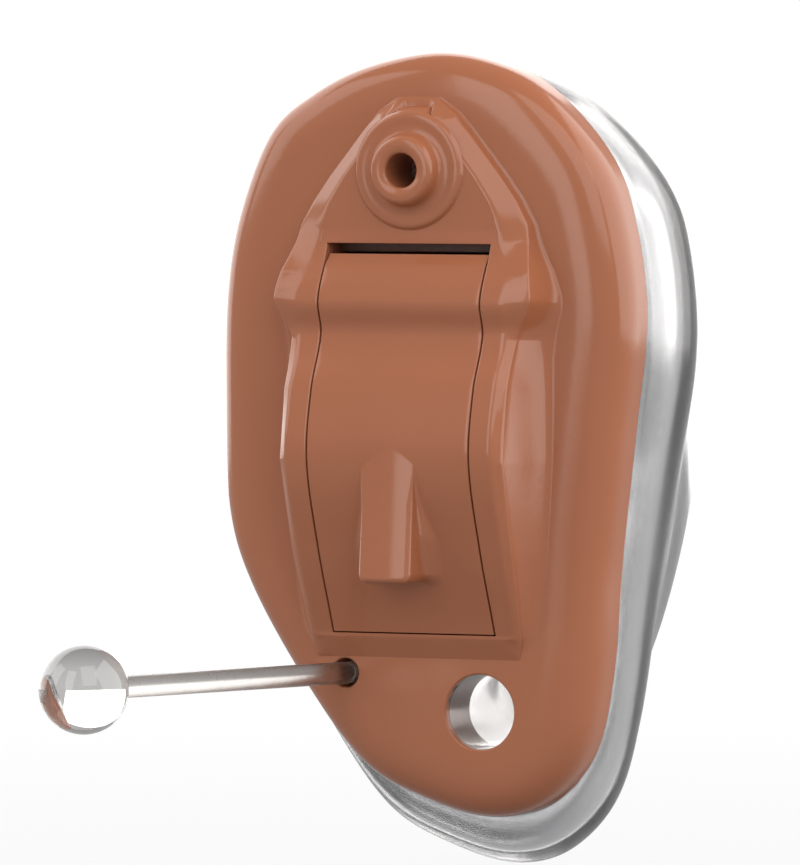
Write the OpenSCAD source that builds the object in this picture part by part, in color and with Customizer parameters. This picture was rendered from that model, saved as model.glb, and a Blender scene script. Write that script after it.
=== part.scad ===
// Completely-in-canal hearing aid: a custom clear shell with a brown faceplate,
// a swinging battery door, a removal line and the electronics behind the plate.
// X runs across the faceplate, Z is up, and Y runs into the ear canal.
// The origin is the middle of the shell's mouth, on the bond line with the faceplate.

/* [Faceplate] */
// Half of the faceplate's width
plate_half_w = 5.2; // [4.9:0.05:5.6]
// Half of the faceplate's height
plate_half_h = 8.65; // [8.4:0.05:9.2]
// Thickness of the faceplate
plate_t = 1.4; // [1.3:0.05:1.5]
// Width of the rolled-off edge round the faceplate
edge_roll = 1.15; // [0.6:0.05:1.2]

/* [Battery door] */
// Width of the door between its two side gaps
door_w = 4.0; // [3.9:0.05:4.1]
// Height of the door's top end above the origin
door_top_z = 4.09; // [4.0:0.01:4.12]
// Depth of the door's bottom end below the origin
door_drop = 4.45; // [4.42:0.01:4.5]
// Thickness of the door's skin
door_t = 0.46; // [0.4:0.02:0.5]
// Running gap beside and below the door
door_gap = 0.04; // [0.03:0.01:0.05]
// Open slot above the door, at the hinge end
door_slot = 0.24; // [0.2:0.02:0.26]
// Height of the hinge above the origin
hinge_z = 3.05; // [3.0:0.05:3.1]
// Depth of the hinge below the top of the knuckles
hinge_depth = 0.55; // [0.5:0.05:0.6]
// Diameter of the hinge pin
pin_d = 0.5; // [0.4:0.05:0.5]
// Running clearance round the pin in the door
pin_clear = 0.02; // [0.02:0.01:0.04]
// Length of the hinge pin
pin_len = 5.5; // [5:0.1:5.6]
// Width of the fingernail grip
grip_w = 1.4; // [1.2:0.1:1.6]
// Depth of the grip's ledge below the origin
grip_drop = 3.27; // [3.1:0.01:3.4]
// Height at which the grip leaves the door
grip_rise = 0.1; // [0:0.05:0.2]
// How far the grip stands out past the door's crown
grip_proud = 0.1; // [0.05:0.05:0.2]
// Rounding of the grip's edges
grip_round = 0.2; // [0.1:0.05:0.25]
// Sideways shift of the grip
grip_shift = 0.1; // [0:0.05:0.2]

/* [Battery] */
// Diameter of the button cell
cell_d = 5.8; // [5.7:0.05:5.8]
// Thickness of the button cell
cell_t = 3.6; // [3.4:0.05:3.6]
// Wall of the cell's steel can
can_wall = 0.15; // [0.1:0.01:0.2]
// Depth of the cell's middle behind the origin plane
cell_y = 0.45; // [0.4:0.01:0.5]
// Depth of the cell's middle below the origin
cell_drop = 0.45; // [0.4:0.01:0.5]
// Play of the cell in its cradle
cell_play = 0.03; // [0.02:0.01:0.05]
// Thickness of the door's cradle ring
cradle_t = 0.27; // [0.22:0.01:0.3]
// Width of the cradle ring along the hinge
cradle_w = 3.0; // [2.6:0.1:3.2]
// Diameter of one air hole in the can
air_hole_d = 0.4; // [0.3:0.05:0.5]
// Spacing of the air holes from the can's middle
air_hole_r = 1.2; // [1:0.1:1.4]

/* [Battery frame] */
// Wall of the battery frame behind the faceplate
frame_wall = 0.3; // [0.25:0.05:0.3]
// Free space between the frame and the cradle ring
frame_free = 0.15; // [0.12:0.01:0.2]
// Depth of the square part of the frame behind the plate
frame_square = 1.9; // [1.8:0.05:2]
// Top wall of the frame
frame_roof = 0.2; // [0.15:0.01:0.22]
// Thickness of the contact springs
leaf_t = 0.12; // [0.1:0.01:0.14]
// Height of the contact springs
leaf_h = 1.2; // [1:0.05:1.3]
// Clearance between a contact spring and the cell
leaf_gap = 0.02; // [0.01:0.01:0.03]
// Depth at which a contact spring is fixed
leaf_root_y = 2.9; // [2.7:0.05:3]

/* [Microphone] */
// Height of the microphone port above the origin
mic_z = 5.98; // [5.9:0.01:6.0]
// Diameter of the port's flange
port_flange_d = 2.6; // [2.4:0.05:2.7]
// Thickness of the port's flange
port_flange_t = 0.12; // [0.1:0.01:0.15]
// Diameter of the port's boss
port_boss_d = 1.64; // [1.5:0.02:1.7]
// Length of the port's boss
port_boss_h = 0.4; // [0.3:0.02:0.45]
// Diameter of the sound inlet
port_hole_d = 0.77; // [0.7:0.01:0.8]
// Diameter of the port's stem in the faceplate
port_stem_d = 1.8; // [1.7:0.05:1.9]
// Diameter of the inlet screen
screen_d = 1.3; // [1.2:0.05:1.4]
// Thickness of the inlet screen
screen_t = 0.1; // [0.08:0.01:0.12]
// Depth of the microphone's face below the floor of the plate
mic_sink = 0.5; // [0.45:0.05:0.55]
// Diameter of the microphone's case
mic_d = 2.3; // [2.2:0.05:2.35]
// Length of the microphone's case
mic_len = 2.5; // [2.3:0.1:2.6]
// Wall of the rubber sleeve round the microphone
mic_sleeve_t = 0.25; // [0.2:0.01:0.26]
// Length of the rubber sleeve round the microphone
mic_sleeve_len = 1.5; // [1.3:0.1:1.7]
// Diameter of the solder pads on microphone and receiver
pad_d = 0.4; // [0.3:0.05:0.5]
// Thickness of the solder pads
pad_t = 0.08; // [0.06:0.01:0.1]

/* [Raised surround] */
// Height of the flat pad round the microphone port
pad_h = 0.5; // [0.45:0.01:0.55]
// Height of the knuckles over the hinge
knuckle_h = 1.08; // [1.05:0.01:1.12]
// Height of the waist below the knuckles
waist_h = 0.92; // [0.88:0.01:0.95]
// Height of the crown over the cell
crown_h = 1.65; // [1.6:0.01:1.7]
// Height of the surround at the door's bottom end
sill_h = 0.28; // [0.25:0.01:0.32]
// How deep the surround is rooted in the faceplate
root_h = 0.6; // [0.5:0.05:0.8]

/* [Vent] */
// Sideways place of the vent
vent_x = 1.51; // [1.4:0.01:1.6]
// Depth of the vent below the origin
vent_drop = 6.23; // [6.15:0.01:6.3]
// Bore of the vent
vent_bore_d = 1.7; // [1.5:0.05:1.7]
// Wall of the clear vent tube
vent_wall = 0.16; // [0.12:0.01:0.2]
// Depth at which the vent tube starts to bend
vent_bend_y = 1.6; // [1.5:0.05:1.8]
// Depth of the vent tube's second bend
vent_mid_y = 6.6; // [6.4:0.1:6.8]

/* [Removal line] */
// Sideways place of the removal line, to the left
line_x = 1.86; // [1.8:0.01:1.9]
// Depth of the removal line below the origin
line_drop = 5.42; // [5.38:0.01:5.5]
// Diameter of the nylon line
line_d = 0.5; // [0.4:0.02:0.5]
// Length of the line from the faceplate to the middle of the ball
line_len = 8.75; // [7:0.05:10]
// Lean of the line away from straight out, in degrees
line_lean = 15; // [5:1:20]
// Diameter of the ball tip
ball_d = 2.0; // [1.8:0.05:2.2]
// Clearance round the line in the faceplate
line_clear = 0.08; // [0.06:0.01:0.1]
// Diameter of the melted bead that anchors the line
bead_d = 1.1; // [1:0.05:1.2]
// Free length between the anchored stub and the bending line
line_root_gap = 0.03; // [0.02:0.01:0.05]

/* [Shell] */
// Wall of the shell
shell_wall = 0.6; // [0.5:0.05:0.65]
// Depth of the shell from the faceplate to the canal tip
shell_depth = 13; // [12.8:0.1:13.5]
// Thickness of the shell's closed tip
tip_wall = 1.2; // [1:0.05:1.3]
// Lean of the canal end towards the left, in degrees
canal_lean = 12.5; // [11:0.5:14]

/* [Sound outlet] */
// Sideways place of the outlet at the tip, to the left
outlet_x = 2.45; // [2.4:0.01:2.5]
// Height of the outlet above the origin
outlet_z = 0.45; // [0.4:0.01:0.5]
// Outer diameter of the outlet sleeve
sleeve_d = 2.4; // [2.2:0.05:2.5]
// Length of the outlet sleeve
sleeve_len = 1.9; // [1.7:0.05:2]
// Outer diameter of the wax guard's basket
guard_d = 1.6; // [1.5:0.05:1.7]
// Length of the wax guard's basket
guard_len = 1.3; // [1.2:0.05:1.4]
// Diameter of the wax guard's rim
guard_rim_d = 2.1; // [2:0.05:2.2]
// Thickness of the wax guard's rim
guard_rim_t = 0.2; // [0.15:0.01:0.25]
// Bore of the wax guard
guard_bore_d = 1.0; // [0.9:0.05:1.1]
// Running clearance round the wax guard
guard_clear = 0.03; // [0.02:0.01:0.04]
// Thickness of the wax guard's membrane
membrane_t = 0.1; // [0.08:0.01:0.12]

/* [Receiver] */
// Length of the receiver's case
receiver_len = 5.0; // [4.8:0.05:5.1]
// Width of the receiver's case
receiver_w = 2.73; // [2.6:0.01:2.8]
// Height of the receiver's case
receiver_h = 1.98; // [1.9:0.01:2.1]
// Rounding of the receiver's case
receiver_round = 0.3; // [0.2:0.05:0.4]
// Outer diameter of the receiver's spout
spout_d = 1.2; // [1.1:0.05:1.3]
// Length of the receiver's spout
spout_len = 0.5; // [0.4:0.05:0.6]
// Bore of the spout and of the sound tube
sound_bore_d = 0.68; // [0.6:0.02:0.7]
// Wall of the rubber boot round the receiver
boot_wall = 0.22; // [0.2:0.01:0.24]
// Length of the rubber boot
boot_len = 3.4; // [3:0.1:3.6]
// Wall of the sound tube over the spout
tube_wall = 0.25; // [0.2:0.05:0.3]

/* [Electronics] */
// Width of the circuit board
board_w = 4.2; // [4:0.1:4.4]
// Height of the circuit board
board_h = 5.6; // [5.4:0.1:5.8]
// Thickness of the circuit board
board_t = 0.35; // [0.3:0.05:0.4]
// Sideways place of the board's middle, to the left
board_x = 0.9; // [0.8:0.05:1]
// Height of the board's middle below the origin
board_z = 0.3; // [0.25:0.05:0.35]
// Side of the amplifier chip
chip_side = 2.6; // [2.4:0.1:2.8]
// Thickness of the amplifier chip
chip_t = 0.6; // [0.5:0.05:0.7]
// Length of one capacitor
capacitor_len = 1.0; // [0.9:0.05:1.1]
// Width of one capacitor
capacitor_w = 0.5; // [0.4:0.05:0.55]
// Free strip between the chip and the capacitors
capacitor_free = 0.22; // [0.1:0.02:0.3]
// Diameter of the insulated wires
wire_d = 0.2; // [0.16:0.02:0.22]

/* [Hidden] */
$fn = 48;

// Cuts run this much past the faces that they open
past = plate_t / 10;
// The vent's bars run this much past the canal tip, and its bore a little further
vent_past = plate_t * 0.3;
// Floor of the faceplate, which faces out of the ear
floor_y = -plate_t;
// Steps of the outline between two of its named points
outline_steps = 3;
// Hinge axis, which runs along X
hinge_y = floor_y - knuckle_h + hinge_depth;
hinge = [0, hinge_y, hinge_z];
// Opening of the faceplate for the door
opening_w = door_w + 2 * door_gap;
opening_top = door_top_z + door_slot;
opening_bottom = -door_drop - door_gap;
cell_mid = [cell_y, -cell_drop];
cradle_in = cell_d / 2 + cell_play;
cradle_out = cradle_in + cradle_t;
frame_in = cradle_out + frame_free;
frame_out = frame_in + frame_wall;
frame_w = opening_w + 2 * frame_wall;
// Flat land on the back of the frame, which carries the board
land_y = cell_y + frame_out;
land_share = 0.3;
board_y = land_y;
pad_y = floor_y - pad_h;
mic_y = floor_y + mic_sink;
// Middle of the canal tip's sound outlet and the direction out of it
outlet = [-outlet_x, shell_depth, outlet_z];

// Outline of the faceplate seen from outside, as shares of its half width and half height.
// It starts at the top and runs by the left side to the bottom and back by the right side.
outline_shares = [
    [0.02, 1.0], [-0.31, 0.965], [-0.57, 0.895], [-0.78, 0.79], [-0.93, 0.58],
    [-0.995, 0.37], [-1.005, 0.10], [-0.985, -0.20], [-0.87, -0.41], [-0.60, -0.67],
    [-0.32, -0.87], [-0.02, -0.96], [0.28, -1.0], [0.53, -0.96], [0.725, -0.83],
    [0.81, -0.62], [0.855, -0.305], [0.915, 0.01], [0.967, 0.32], [0.905, 0.58],
    [0.79, 0.74], [0.545, 0.895], [0.31, 0.97]
];

// Sections of the shell from its mouth to the canal tip. Each has its depth, its middle across,
// its half width, its middle height, its half height, how far it has become an ellipse
// and how far its top leans to the right.
shell_shares = [
    [0, 0, 1, 0, 1, 0, 0],
    [0.06, 0.015, 1.03, -0.06, 1.032, 0, 0.035],
    [0.14, 0.01, 1.035, -0.099, 1.038, 0, 0.06],
    [0.23, -0.02, 0.97, -0.092, 0.985, 0.12, 0.07],
    [0.346, -0.1, 0.88, -0.085, 0.88, 0.4, 0.05],
    [0.5, -0.17, 0.785, -0.092, 0.745, 0.75, 0.01],
    [0.692, -0.265, 0.675, -0.075, 0.572, 0.9, 0],
    [0.877, -0.38, 0.57, -0.064, 0.468, 1, 0],
    [0.954, -0.42, 0.515, -0.058, 0.434, 1, 0],
    [0.988, -0.437, 0.455, -0.058, 0.393, 1, 0],
    [1, -0.44, 0.385, -0.058, 0.347, 1, 0]
];

// Smooth curve between the middle two of four neighbouring points
function curve(a, b, c, d, t) =
    b + ((c - a) * t + (2 * a - 5 * b + 4 * c - d) * t * t + (3 * (b - c) + d - a) * t * t * t) / 2;

// Point on the closed curve through a list, at the place u counted in points
function on_loop(list, u) =
    let (n = len(list), i = floor(u))
    curve(list[(i + n - 1) % n], list[i % n], list[(i + 1) % n], list[(i + 2) % n], u - i);

// Point on the open curve through a list, at the place u counted in points
function on_line(list, u) =
    let (last = len(list) - 1, i = min(floor(u), last - 1))
    curve(list[max(i - 1, 0)], list[i], list[i + 1], list[min(i + 2, last)], u - i);

outline_unit = [
    for (k = [0 : len(outline_shares) * outline_steps - 1]) on_loop(outline_shares, k / outline_steps)
];
outline = [for (p = outline_unit) [p[0] * plate_half_w, p[1] * plate_half_h]];

// Closed outline moved inwards along its own normals
function inset(loop, d) = [
    for (i = [0 : len(loop) - 1])
        let (n = len(loop), a = loop[(i + n - 1) % n], b = loop[(i + 1) % n], s = (b - a) / norm(b - a))
        loop[i] + d * [-s[1], s[0]]
];

// Closed outline set at a depth y
function at_depth(loop, y) = [for (p = loop) [p[0], y, p[1]]];

// Outline of the shell for one row of section values
function shell_outline(s) = [
    for (p = outline_unit)
        let (a = atan2(p[1], p[0]), q = p * (1 - s[5]) + [cos(a), sin(a)] * s[5],
             z = (s[3] + s[4] * q[1]) * plate_half_h)
        [(s[1] + s[2] * q[0]) * plate_half_w + s[6] * z, z]
];

// Ring of the shell at the place u along its sections, set in from the outside by a wall
function shell_ring(u, wall, depth) =
    let (s = on_line(shell_shares, u))
    at_depth(wall > 0 ? inset(shell_outline(s), wall) : shell_outline(s), s[0] * depth);

// Closed solid through a chain of equal rings, with a flat cap on each end
module lofted(rings) {
    n = len(rings[0]);
    m = len(rings);
    sides = [
        for (j = [0 : m - 2], i = [0 : n - 1])
            [j * n + i, j * n + (i + 1) % n, (j + 1) * n + (i + 1) % n, (j + 1) * n + i]
    ];
    split = [for (f = sides) each [[f[0], f[1], f[2]], [f[0], f[2], f[3]]]];
    caps = [[for (i = [n - 1 : -1 : 0]) i], [for (i = [0 : n - 1]) (m - 1) * n + i]];
    polyhedron(points = [for (r = rings) each r], faces = concat(split, caps));
}

// Round bar along Y from a point
module along_y(p, length, d) {
    translate(p)
        rotate([-90, 0, 0])
            cylinder(h = length, d = d);
}

// Round bar between two points
module bar(a, b, d) {
    s = b - a;
    translate(a)
        rotate([0, acos(s[2] / norm(s)), atan2(s[1], s[0])])
            cylinder(h = norm(s), d = d);
}

// Round bar through a list of points, with a slightly wider ball at each bend
ball_ratio = 1.05;
module bent_bar(route, d) {
    for (i = [0 : len(route) - 2]) {
        bar(route[i], route[i + 1], d);
    }
    for (i = [1 : len(route) - 2]) {
        translate(route[i])
            sphere(d = d * ball_ratio);
    }
}

// Flat shape in depth and height, spread along X by a width
module across(width) {
    rotate([90, 0, 90])
        linear_extrude(height = width, center = true)
            children();
}

// Place at the sound outlet with its own Y along the leaning canal
module at_outlet(back) {
    translate(outlet)
        rotate([0, 0, canal_lean])
            translate([0, -back, 0])
                children();
}

/* Raised surround and door skin */
// Heights of the door's face and of the rails beside it, from the top end to the bottom end
waist_z = hinge_z * 0.75;
rise_z = hinge_z * 0.35;
crown_z = -cell_drop * 1.2;
fall_z = -door_drop * 0.585;
wave = [
    [opening_top, pad_h], [door_top_z, pad_h * 1.16], [hinge_z, knuckle_h], [waist_z, waist_h],
    [rise_z, crown_h * 0.855], [crown_z, crown_h], [fall_z, crown_h * 0.63], [-door_drop, sill_h]
];
wave_rows = 34;

// Slope of the wave at one of its named points
function wave_slope(i) =
    let (a = wave[max(i - 1, 0)], b = wave[min(i + 1, len(wave) - 1)])
    (b[1] - a[1]) / (b[0] - a[0]);

// Height of the wave over the floor at the height z, smooth through the named points
function wave_height(z) =
    let (i = max([for (k = [0 : len(wave) - 2]) wave[k][0] >= z ? k : 0]),
         a = wave[i], b = wave[i + 1], s = b[0] - a[0], t = (z - a[0]) / s)
    a[1] * (1 - t) * (1 - t) * (1 + 2 * t) + b[1] * t * t * (3 - 2 * t)
    + s * (wave_slope(i) * t * (1 - t) * (1 - t) - wave_slope(i + 1) * t * t * (1 - t));

// Points of the wave in height and height over the floor, from a start height to the door's bottom
function wave_points(start) = [
    for (k = [0 : wave_rows])
        let (z = start - (start + door_drop) * k / wave_rows)
        [z, wave_height(z)]
];

// Sections of the surround from the top corner down: height, half width on top,
// half width at the foot and height over the floor
surround_top = opening_top * 1.73;
surround_bottom = -door_drop * 1.14;
rail_out = opening_w / 2 * 1.25;
rail_foot = opening_w / 2 * 1.52;
knuckle_out = opening_w / 2 * 1.55;
knuckle_foot = opening_w / 2 * 1.74;
rail_rows = [
    for (p = wave_points(opening_top))
        let (near = exp(-pow((p[0] - hinge_z) / (hinge_z * 0.32), 2)),
             low = max(0, (fall_z - p[0]) / (door_drop + fall_z)))
        [p[0], rail_out + (knuckle_out - rail_out) * near,
         rail_foot + (knuckle_foot - rail_foot) * near - (rail_foot - rail_out) * 0.5 * low, p[1]]
];
surround_rows = concat(
    [
        [surround_top, opening_w * 0.10, opening_w * 0.16, pad_h * 0.1],
        [surround_top * 0.975, opening_w * 0.13, opening_w * 0.20, pad_h * 0.7],
        [surround_top * 0.945, opening_w * 0.17, opening_w * 0.26, pad_h],
        [surround_top * 0.8, opening_w * 0.34, opening_w * 0.43, pad_h],
        [surround_top * 0.66, opening_w * 0.50, opening_w * 0.60, pad_h]
    ],
    rail_rows,
    [[surround_bottom, rail_out * 0.93, rail_out * 1.02, sill_h * 0.1]]
);
side_steps = 6;
// The foot of the surround starts this far below the floor of the plate
foot_dip = plate_t * 0.07;

// One ring of the surround: up the left flank, over the top and down the right flank
function surround_ring(r) = let (
    flank = [
        for (k = [0 : side_steps])
            let (t = k / side_steps)
            [r[2] + (r[1] - r[2]) * t, floor_y + foot_dip - (r[3] + foot_dip) * t * t * (3 - 2 * t)]
    ],
    foot = floor_y + root_h
) concat(
    [[-r[2], foot, r[0]]],
    [for (p = flank) [-p[0], p[1], r[0]]],
    [for (k = [side_steps : -1 : 0]) [flank[k][0], flank[k][1], r[0]]],
    [[r[2], foot, r[0]]]
);

/* Sub-parts */
module plate_blank() {
    roll_steps = 6;
    lofted(concat(
        [
            for (k = [roll_steps : -1 : 0])
                let (a = 90 * k / roll_steps)
                at_depth(inset(outline, edge_roll * (1 - cos(a))), -plate_t * (0.12 + 0.88 * sin(a)))
        ],
        [at_depth(outline, 0)]
    ));
}

module faceplate() {
    color([0.60, 0.40, 0.32])
        difference() {
            union() {
                plate_blank();
                lofted([for (r = surround_rows) surround_ring(r)]);
            }
            // Opening for the door and its cell
            translate([-opening_w / 2, floor_y - crown_h * 2, opening_bottom])
                cube([opening_w, plate_t + crown_h * 2 + past, opening_top - opening_bottom]);
            // Sockets of the hinge pin
            translate(hinge - [pin_len / 2, 0, 0])
                rotate([0, 90, 0])
                    cylinder(h = pin_len, d = pin_d);
            // Stepped bore for the port's stem and the microphone's sleeve
            along_y([0, pad_y - past, mic_z], pad_h + mic_sink + past, port_stem_d);
            along_y([0, mic_y, mic_z], plate_t + past, mic_d + 2 * mic_sleeve_t);
            along_y([vent_x, floor_y - past, -vent_drop], plate_t + 2 * past, vent_bore_d + 2 * vent_wall);
            along_y([-line_x, floor_y - past, -line_drop], plate_t + 2 * past, line_d + 2 * line_clear);
        }
}

module shell() {
    outer_steps = 2;
    rows = len(shell_shares) - 1;
    inner_depth = shell_depth - tip_wall;
    color([0.80, 0.80, 0.80, 0.5])
        difference() {
            lofted(concat(
                [for (k = [rows : -1 : 0]) shell_ring(k, shell_wall, inner_depth)],
                [for (k = [0 : rows * outer_steps]) shell_ring(k / outer_steps, 0, shell_depth)]
            ));
            at_outlet(tip_wall * 3)
                along_y([0, 0, 0], tip_wall * 4, sleeve_d);
            bent_bar(vent_route(vent_past), vent_bore_d + 2 * vent_wall);
        }
}

// Route of the vent from the faceplate's floor to the canal tip, carried on by an extra length
function vent_route(extra) = [
    [vent_x, floor_y, -vent_drop],
    [vent_x, vent_bend_y, -vent_drop],
    [-outlet_x * 0.37, vent_mid_y, -vent_drop * 0.64],
    [-outlet_x * 1.02, shell_depth + extra, -vent_drop * 0.39]
];

module vent_tube() {
    color([0.85, 0.83, 0.80, 0.6])
        difference() {
            intersection() {
                bent_bar(vent_route(vent_past), vent_bore_d + 2 * vent_wall);
                translate([-plate_half_w * 2, floor_y, -plate_half_h * 2])
                    cube([plate_half_w * 4, plate_t + shell_depth, plate_half_h * 4]);
            }
            bent_bar(vent_route(vent_past * 2), vent_bore_d);
            along_y([vent_x, floor_y - past, -vent_drop], past * 2, vent_bore_d);
        }
}

// Outline of the door's skin in depth and height
module door_skin() {
    face = wave_points(door_top_z);
    polygon(concat(
        [for (p = face) [floor_y - p[1], p[0]]],
        [for (k = [len(face) - 1 : -1 : 0]) [floor_y - face[k][1] + door_t, face[k][0]]]
    ));
}

// Fingernail grip in depth and height, with a rounded ledge
module grip_outline() {
    front = floor_y - crown_h - grip_proud;
    hull() {
        translate([front + grip_round, -grip_drop + grip_round])
            circle(r = grip_round);
        translate([front + grip_round, -grip_rise])
            circle(r = grip_round);
        translate([floor_y - crown_h * 0.45, -grip_drop + grip_round])
            circle(r = grip_round);
    }
}

// The cradle ring is cut away between these two angles, which turn from straight back towards the top
cradle_open = 50;
cradle_shut = 250;
function side_of(a) = [cos(a), sin(a)];

module battery_door() {
    sweep = norm([hinge_y - floor_y, hinge_z + door_drop]);
    color([0.62, 0.41, 0.31])
        difference() {
            union() {
                across(door_w)
                    intersection() {
                        door_skin();
                        // The bottom end follows an arc about the hinge
                        translate([hinge_y, hinge_z])
                            circle(r = sweep, $fn = 180);
                    }
                across(door_w)
                    translate([hinge_y, hinge_z])
                        circle(r = hinge_depth * 0.95);
                translate([-grip_shift, 0, 0])
                    across(grip_w)
                        grip_outline();
                // Cradle ring, open on the side away from the hinge
                across(cradle_w)
                    difference() {
                        translate(cell_mid)
                            circle(r = cradle_out, $fn = 96);
                        translate(cell_mid)
                            polygon(cradle_out * 2 * [[0, 0], side_of(cradle_open), [1, 0], [0, -1], side_of(cradle_shut)]);
                    }
            }
            // Pocket for the cell
            across(door_w + past)
                translate(cell_mid)
                    circle(r = cradle_in, $fn = 96);
            across(door_w + past)
                translate([hinge_y, hinge_z])
                    circle(r = pin_d / 2 + pin_clear);
        }
}

module hinge_pin() {
    color([0.75, 0.75, 0.77])
        across(pin_len)
            translate([hinge_y, hinge_z])
                circle(d = pin_d);
}

// Place at the cell's middle with its own Z along the hinge
module at_cell() {
    translate([-cell_t / 2, cell_mid[0], cell_mid[1]])
        rotate([0, 90, 0])
            children();
}

cap_step = cell_t * 0.06;
gasket_t = can_wall;
module battery_can() {
    color([0.78, 0.77, 0.74])
        at_cell()
            difference() {
                cylinder(h = cell_t - cap_step * 2, d = cell_d, $fn = 96);
                translate([0, 0, can_wall])
                    cylinder(h = cell_t, d = cell_d - 2 * can_wall, $fn = 96);
                for (a = [0 : 90 : 270]) {
                    rotate(a)
                        translate([air_hole_r, 0, -past])
                            cylinder(h = can_wall + 2 * past, d = air_hole_d);
                }
            }
}

module battery_gasket() {
    color([0.25, 0.35, 0.60])
        at_cell()
            translate([0, 0, can_wall])
                difference() {
                    cylinder(h = cell_t - can_wall - cap_step, d = cell_d - 2 * can_wall, $fn = 96);
                    translate([0, 0, -past])
                        cylinder(h = cell_t, d = cell_d - 2 * can_wall - 2 * gasket_t, $fn = 96);
                }
}

module battery_cap() {
    cap_d = cell_d - 2 * can_wall - 2 * gasket_t;
    color([0.70, 0.71, 0.73])
        at_cell()
            translate([0, 0, can_wall]) {
                cylinder(h = cell_t - can_wall - cap_step, d = cap_d, $fn = 96);
                cylinder(h = cell_t - can_wall, d = cap_d - 2 * cap_step, $fn = 96);
            }
}

// Frame's outer outline in depth and height
module frame_outline() {
    translate(cell_mid)
        circle(r = frame_out, $fn = 96);
    translate([0, opening_bottom - frame_wall])
        square([frame_square + frame_wall, opening_top - opening_bottom + frame_wall + frame_roof]);
}

// Land on the back of the frame, which the circuit board sits on
module frame_land() {
    translate([0, land_y - frame_wall, -cell_drop])
        cube([opening_w * 0.7, frame_wall * 2, frame_out * land_share * 2], center = true);
}

// Space inside the frame that the cell and its cradle swing through
module frame_space() {
    translate(cell_mid)
        circle(r = frame_in, $fn = 96);
    translate([-cradle_out * 2, opening_bottom])
        square([cradle_out * 2 + frame_square, opening_top - opening_bottom]);
}

module battery_frame() {
    color([0.42, 0.28, 0.22])
        difference() {
            union() {
                intersection() {
                    across(frame_w)
                        frame_outline();
                    translate([-frame_w, 0, -plate_half_h])
                        cube([frame_w * 2, shell_depth, plate_half_h * 2]);
                }
                frame_land();
            }
            across(opening_w)
                frame_space();
            // Windows for the two contact springs
            translate([-frame_w, past, -cell_drop - leaf_h * 0.6])
                cube([frame_w * 2, leaf_root_y * 0.85, leaf_h * 1.2]);
        }
}

// Spring leaf fixed outside the frame's wall, reaching through the window to the cell
module contact_leaf() {
    out = frame_w / 2;
    touch = cell_t / 2 + leaf_gap;
    translate([0, 0, -cell_drop])
        linear_extrude(height = leaf_h, center = true)
            polygon([
                [out, leaf_root_y * 1.1], [out + leaf_t, leaf_root_y * 1.1],
                [out + leaf_t, leaf_root_y * 0.72], [touch + leaf_t, leaf_root_y * 0.32],
                [touch + leaf_t * 2, leaf_root_y * 0.12], [touch + leaf_t, leaf_root_y * 0.12],
                [touch, leaf_root_y * 0.32], [out, leaf_root_y * 0.74]
            ]);
}

module contact_positive() {
    color([0.83, 0.69, 0.35])
        mirror([1, 0, 0])
            contact_leaf();
}

module contact_negative() {
    color([0.83, 0.69, 0.35])
        contact_leaf();
}

module mic_port_cap() {
    front = port_flange_t + port_boss_h;
    color([0.60, 0.40, 0.32])
        difference() {
            union() {
                along_y([0, pad_y - port_flange_t, mic_z], port_flange_t, port_flange_d);
                along_y([0, pad_y - front, mic_z], front, port_boss_d);
                along_y([0, pad_y, mic_z], pad_h + mic_sink, port_stem_d);
            }
            along_y([0, pad_y - front - past, mic_z], front + pad_h + mic_sink + 2 * past, port_hole_d);
            along_y([0, mic_y - screen_t, mic_z], screen_t + past, screen_d);
        }
}

module mic_screen() {
    color([0.16, 0.13, 0.12])
        along_y([0, mic_y - screen_t, mic_z], screen_t, screen_d);
}

module mic_sleeve() {
    color([0.20, 0.20, 0.21])
        difference() {
            along_y([0, mic_y, mic_z], mic_sleeve_len, mic_d + 2 * mic_sleeve_t);
            along_y([0, mic_y - past, mic_z], mic_sleeve_len + 2 * past, mic_d);
        }
}

module microphone() {
    color([0.72, 0.72, 0.70])
        difference() {
            along_y([0, mic_y, mic_z], mic_len, mic_d);
            along_y([0, mic_y - past, mic_z], past + mic_len * 0.2, port_hole_d / 2);
        }
}

mic_back = mic_y + mic_len;
mic_pad_row = [for (k = [-1 : 1]) [k * mic_d * 0.28, mic_back, mic_z]];
module mic_pads() {
    color([0.85, 0.72, 0.40])
        for (p = mic_pad_row) {
            along_y(p, pad_t, pad_d);
        }
}

module circuit_board() {
    color([0.10, 0.33, 0.20])
        translate([-board_x - board_w / 2, board_y, -board_z - board_h / 2])
            cube([board_w, board_t, board_h]);
}

chip_y = board_y + board_t;
module amplifier_chip() {
    color([0.10, 0.10, 0.11])
        translate([-board_x - chip_side / 2, chip_y, -board_z - chip_side / 2])
            cube([chip_side, chip_t, chip_side]);
}

capacitor_z = -board_z + chip_side / 2 + capacitor_free + capacitor_len / 2;
module capacitors() {
    color([0.66, 0.55, 0.40])
        for (k = [-1 : 1]) {
            translate([-board_x + k * capacitor_len * 1.25, chip_y, capacitor_z])
                translate([-capacitor_w / 2, 0, -capacitor_len / 2])
                    cube([capacitor_w, capacitor_w, capacitor_len]);
        }
}

// Distances back from the canal tip along the outlet's own axis
tube_front = sleeve_len;
spout_front = sleeve_len + spout_len * 0.2;
case_front = spout_front + spout_len;
case_back = case_front + receiver_len;

// Rounded bar along Y with its back end on the origin
module case_bar(width, height, length, round) {
    rotate([90, 0, 0])
        translate([0, 0, -length])
            linear_extrude(height = length) {
                square([width, height - 2 * round], center = true);
                square([width - 2 * round, height], center = true);
                for (x = [-1, 1], z = [-1, 1]) {
                    translate([x * (width / 2 - round), z * (height / 2 - round)])
                        circle(r = round);
                }
            }
}

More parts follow.
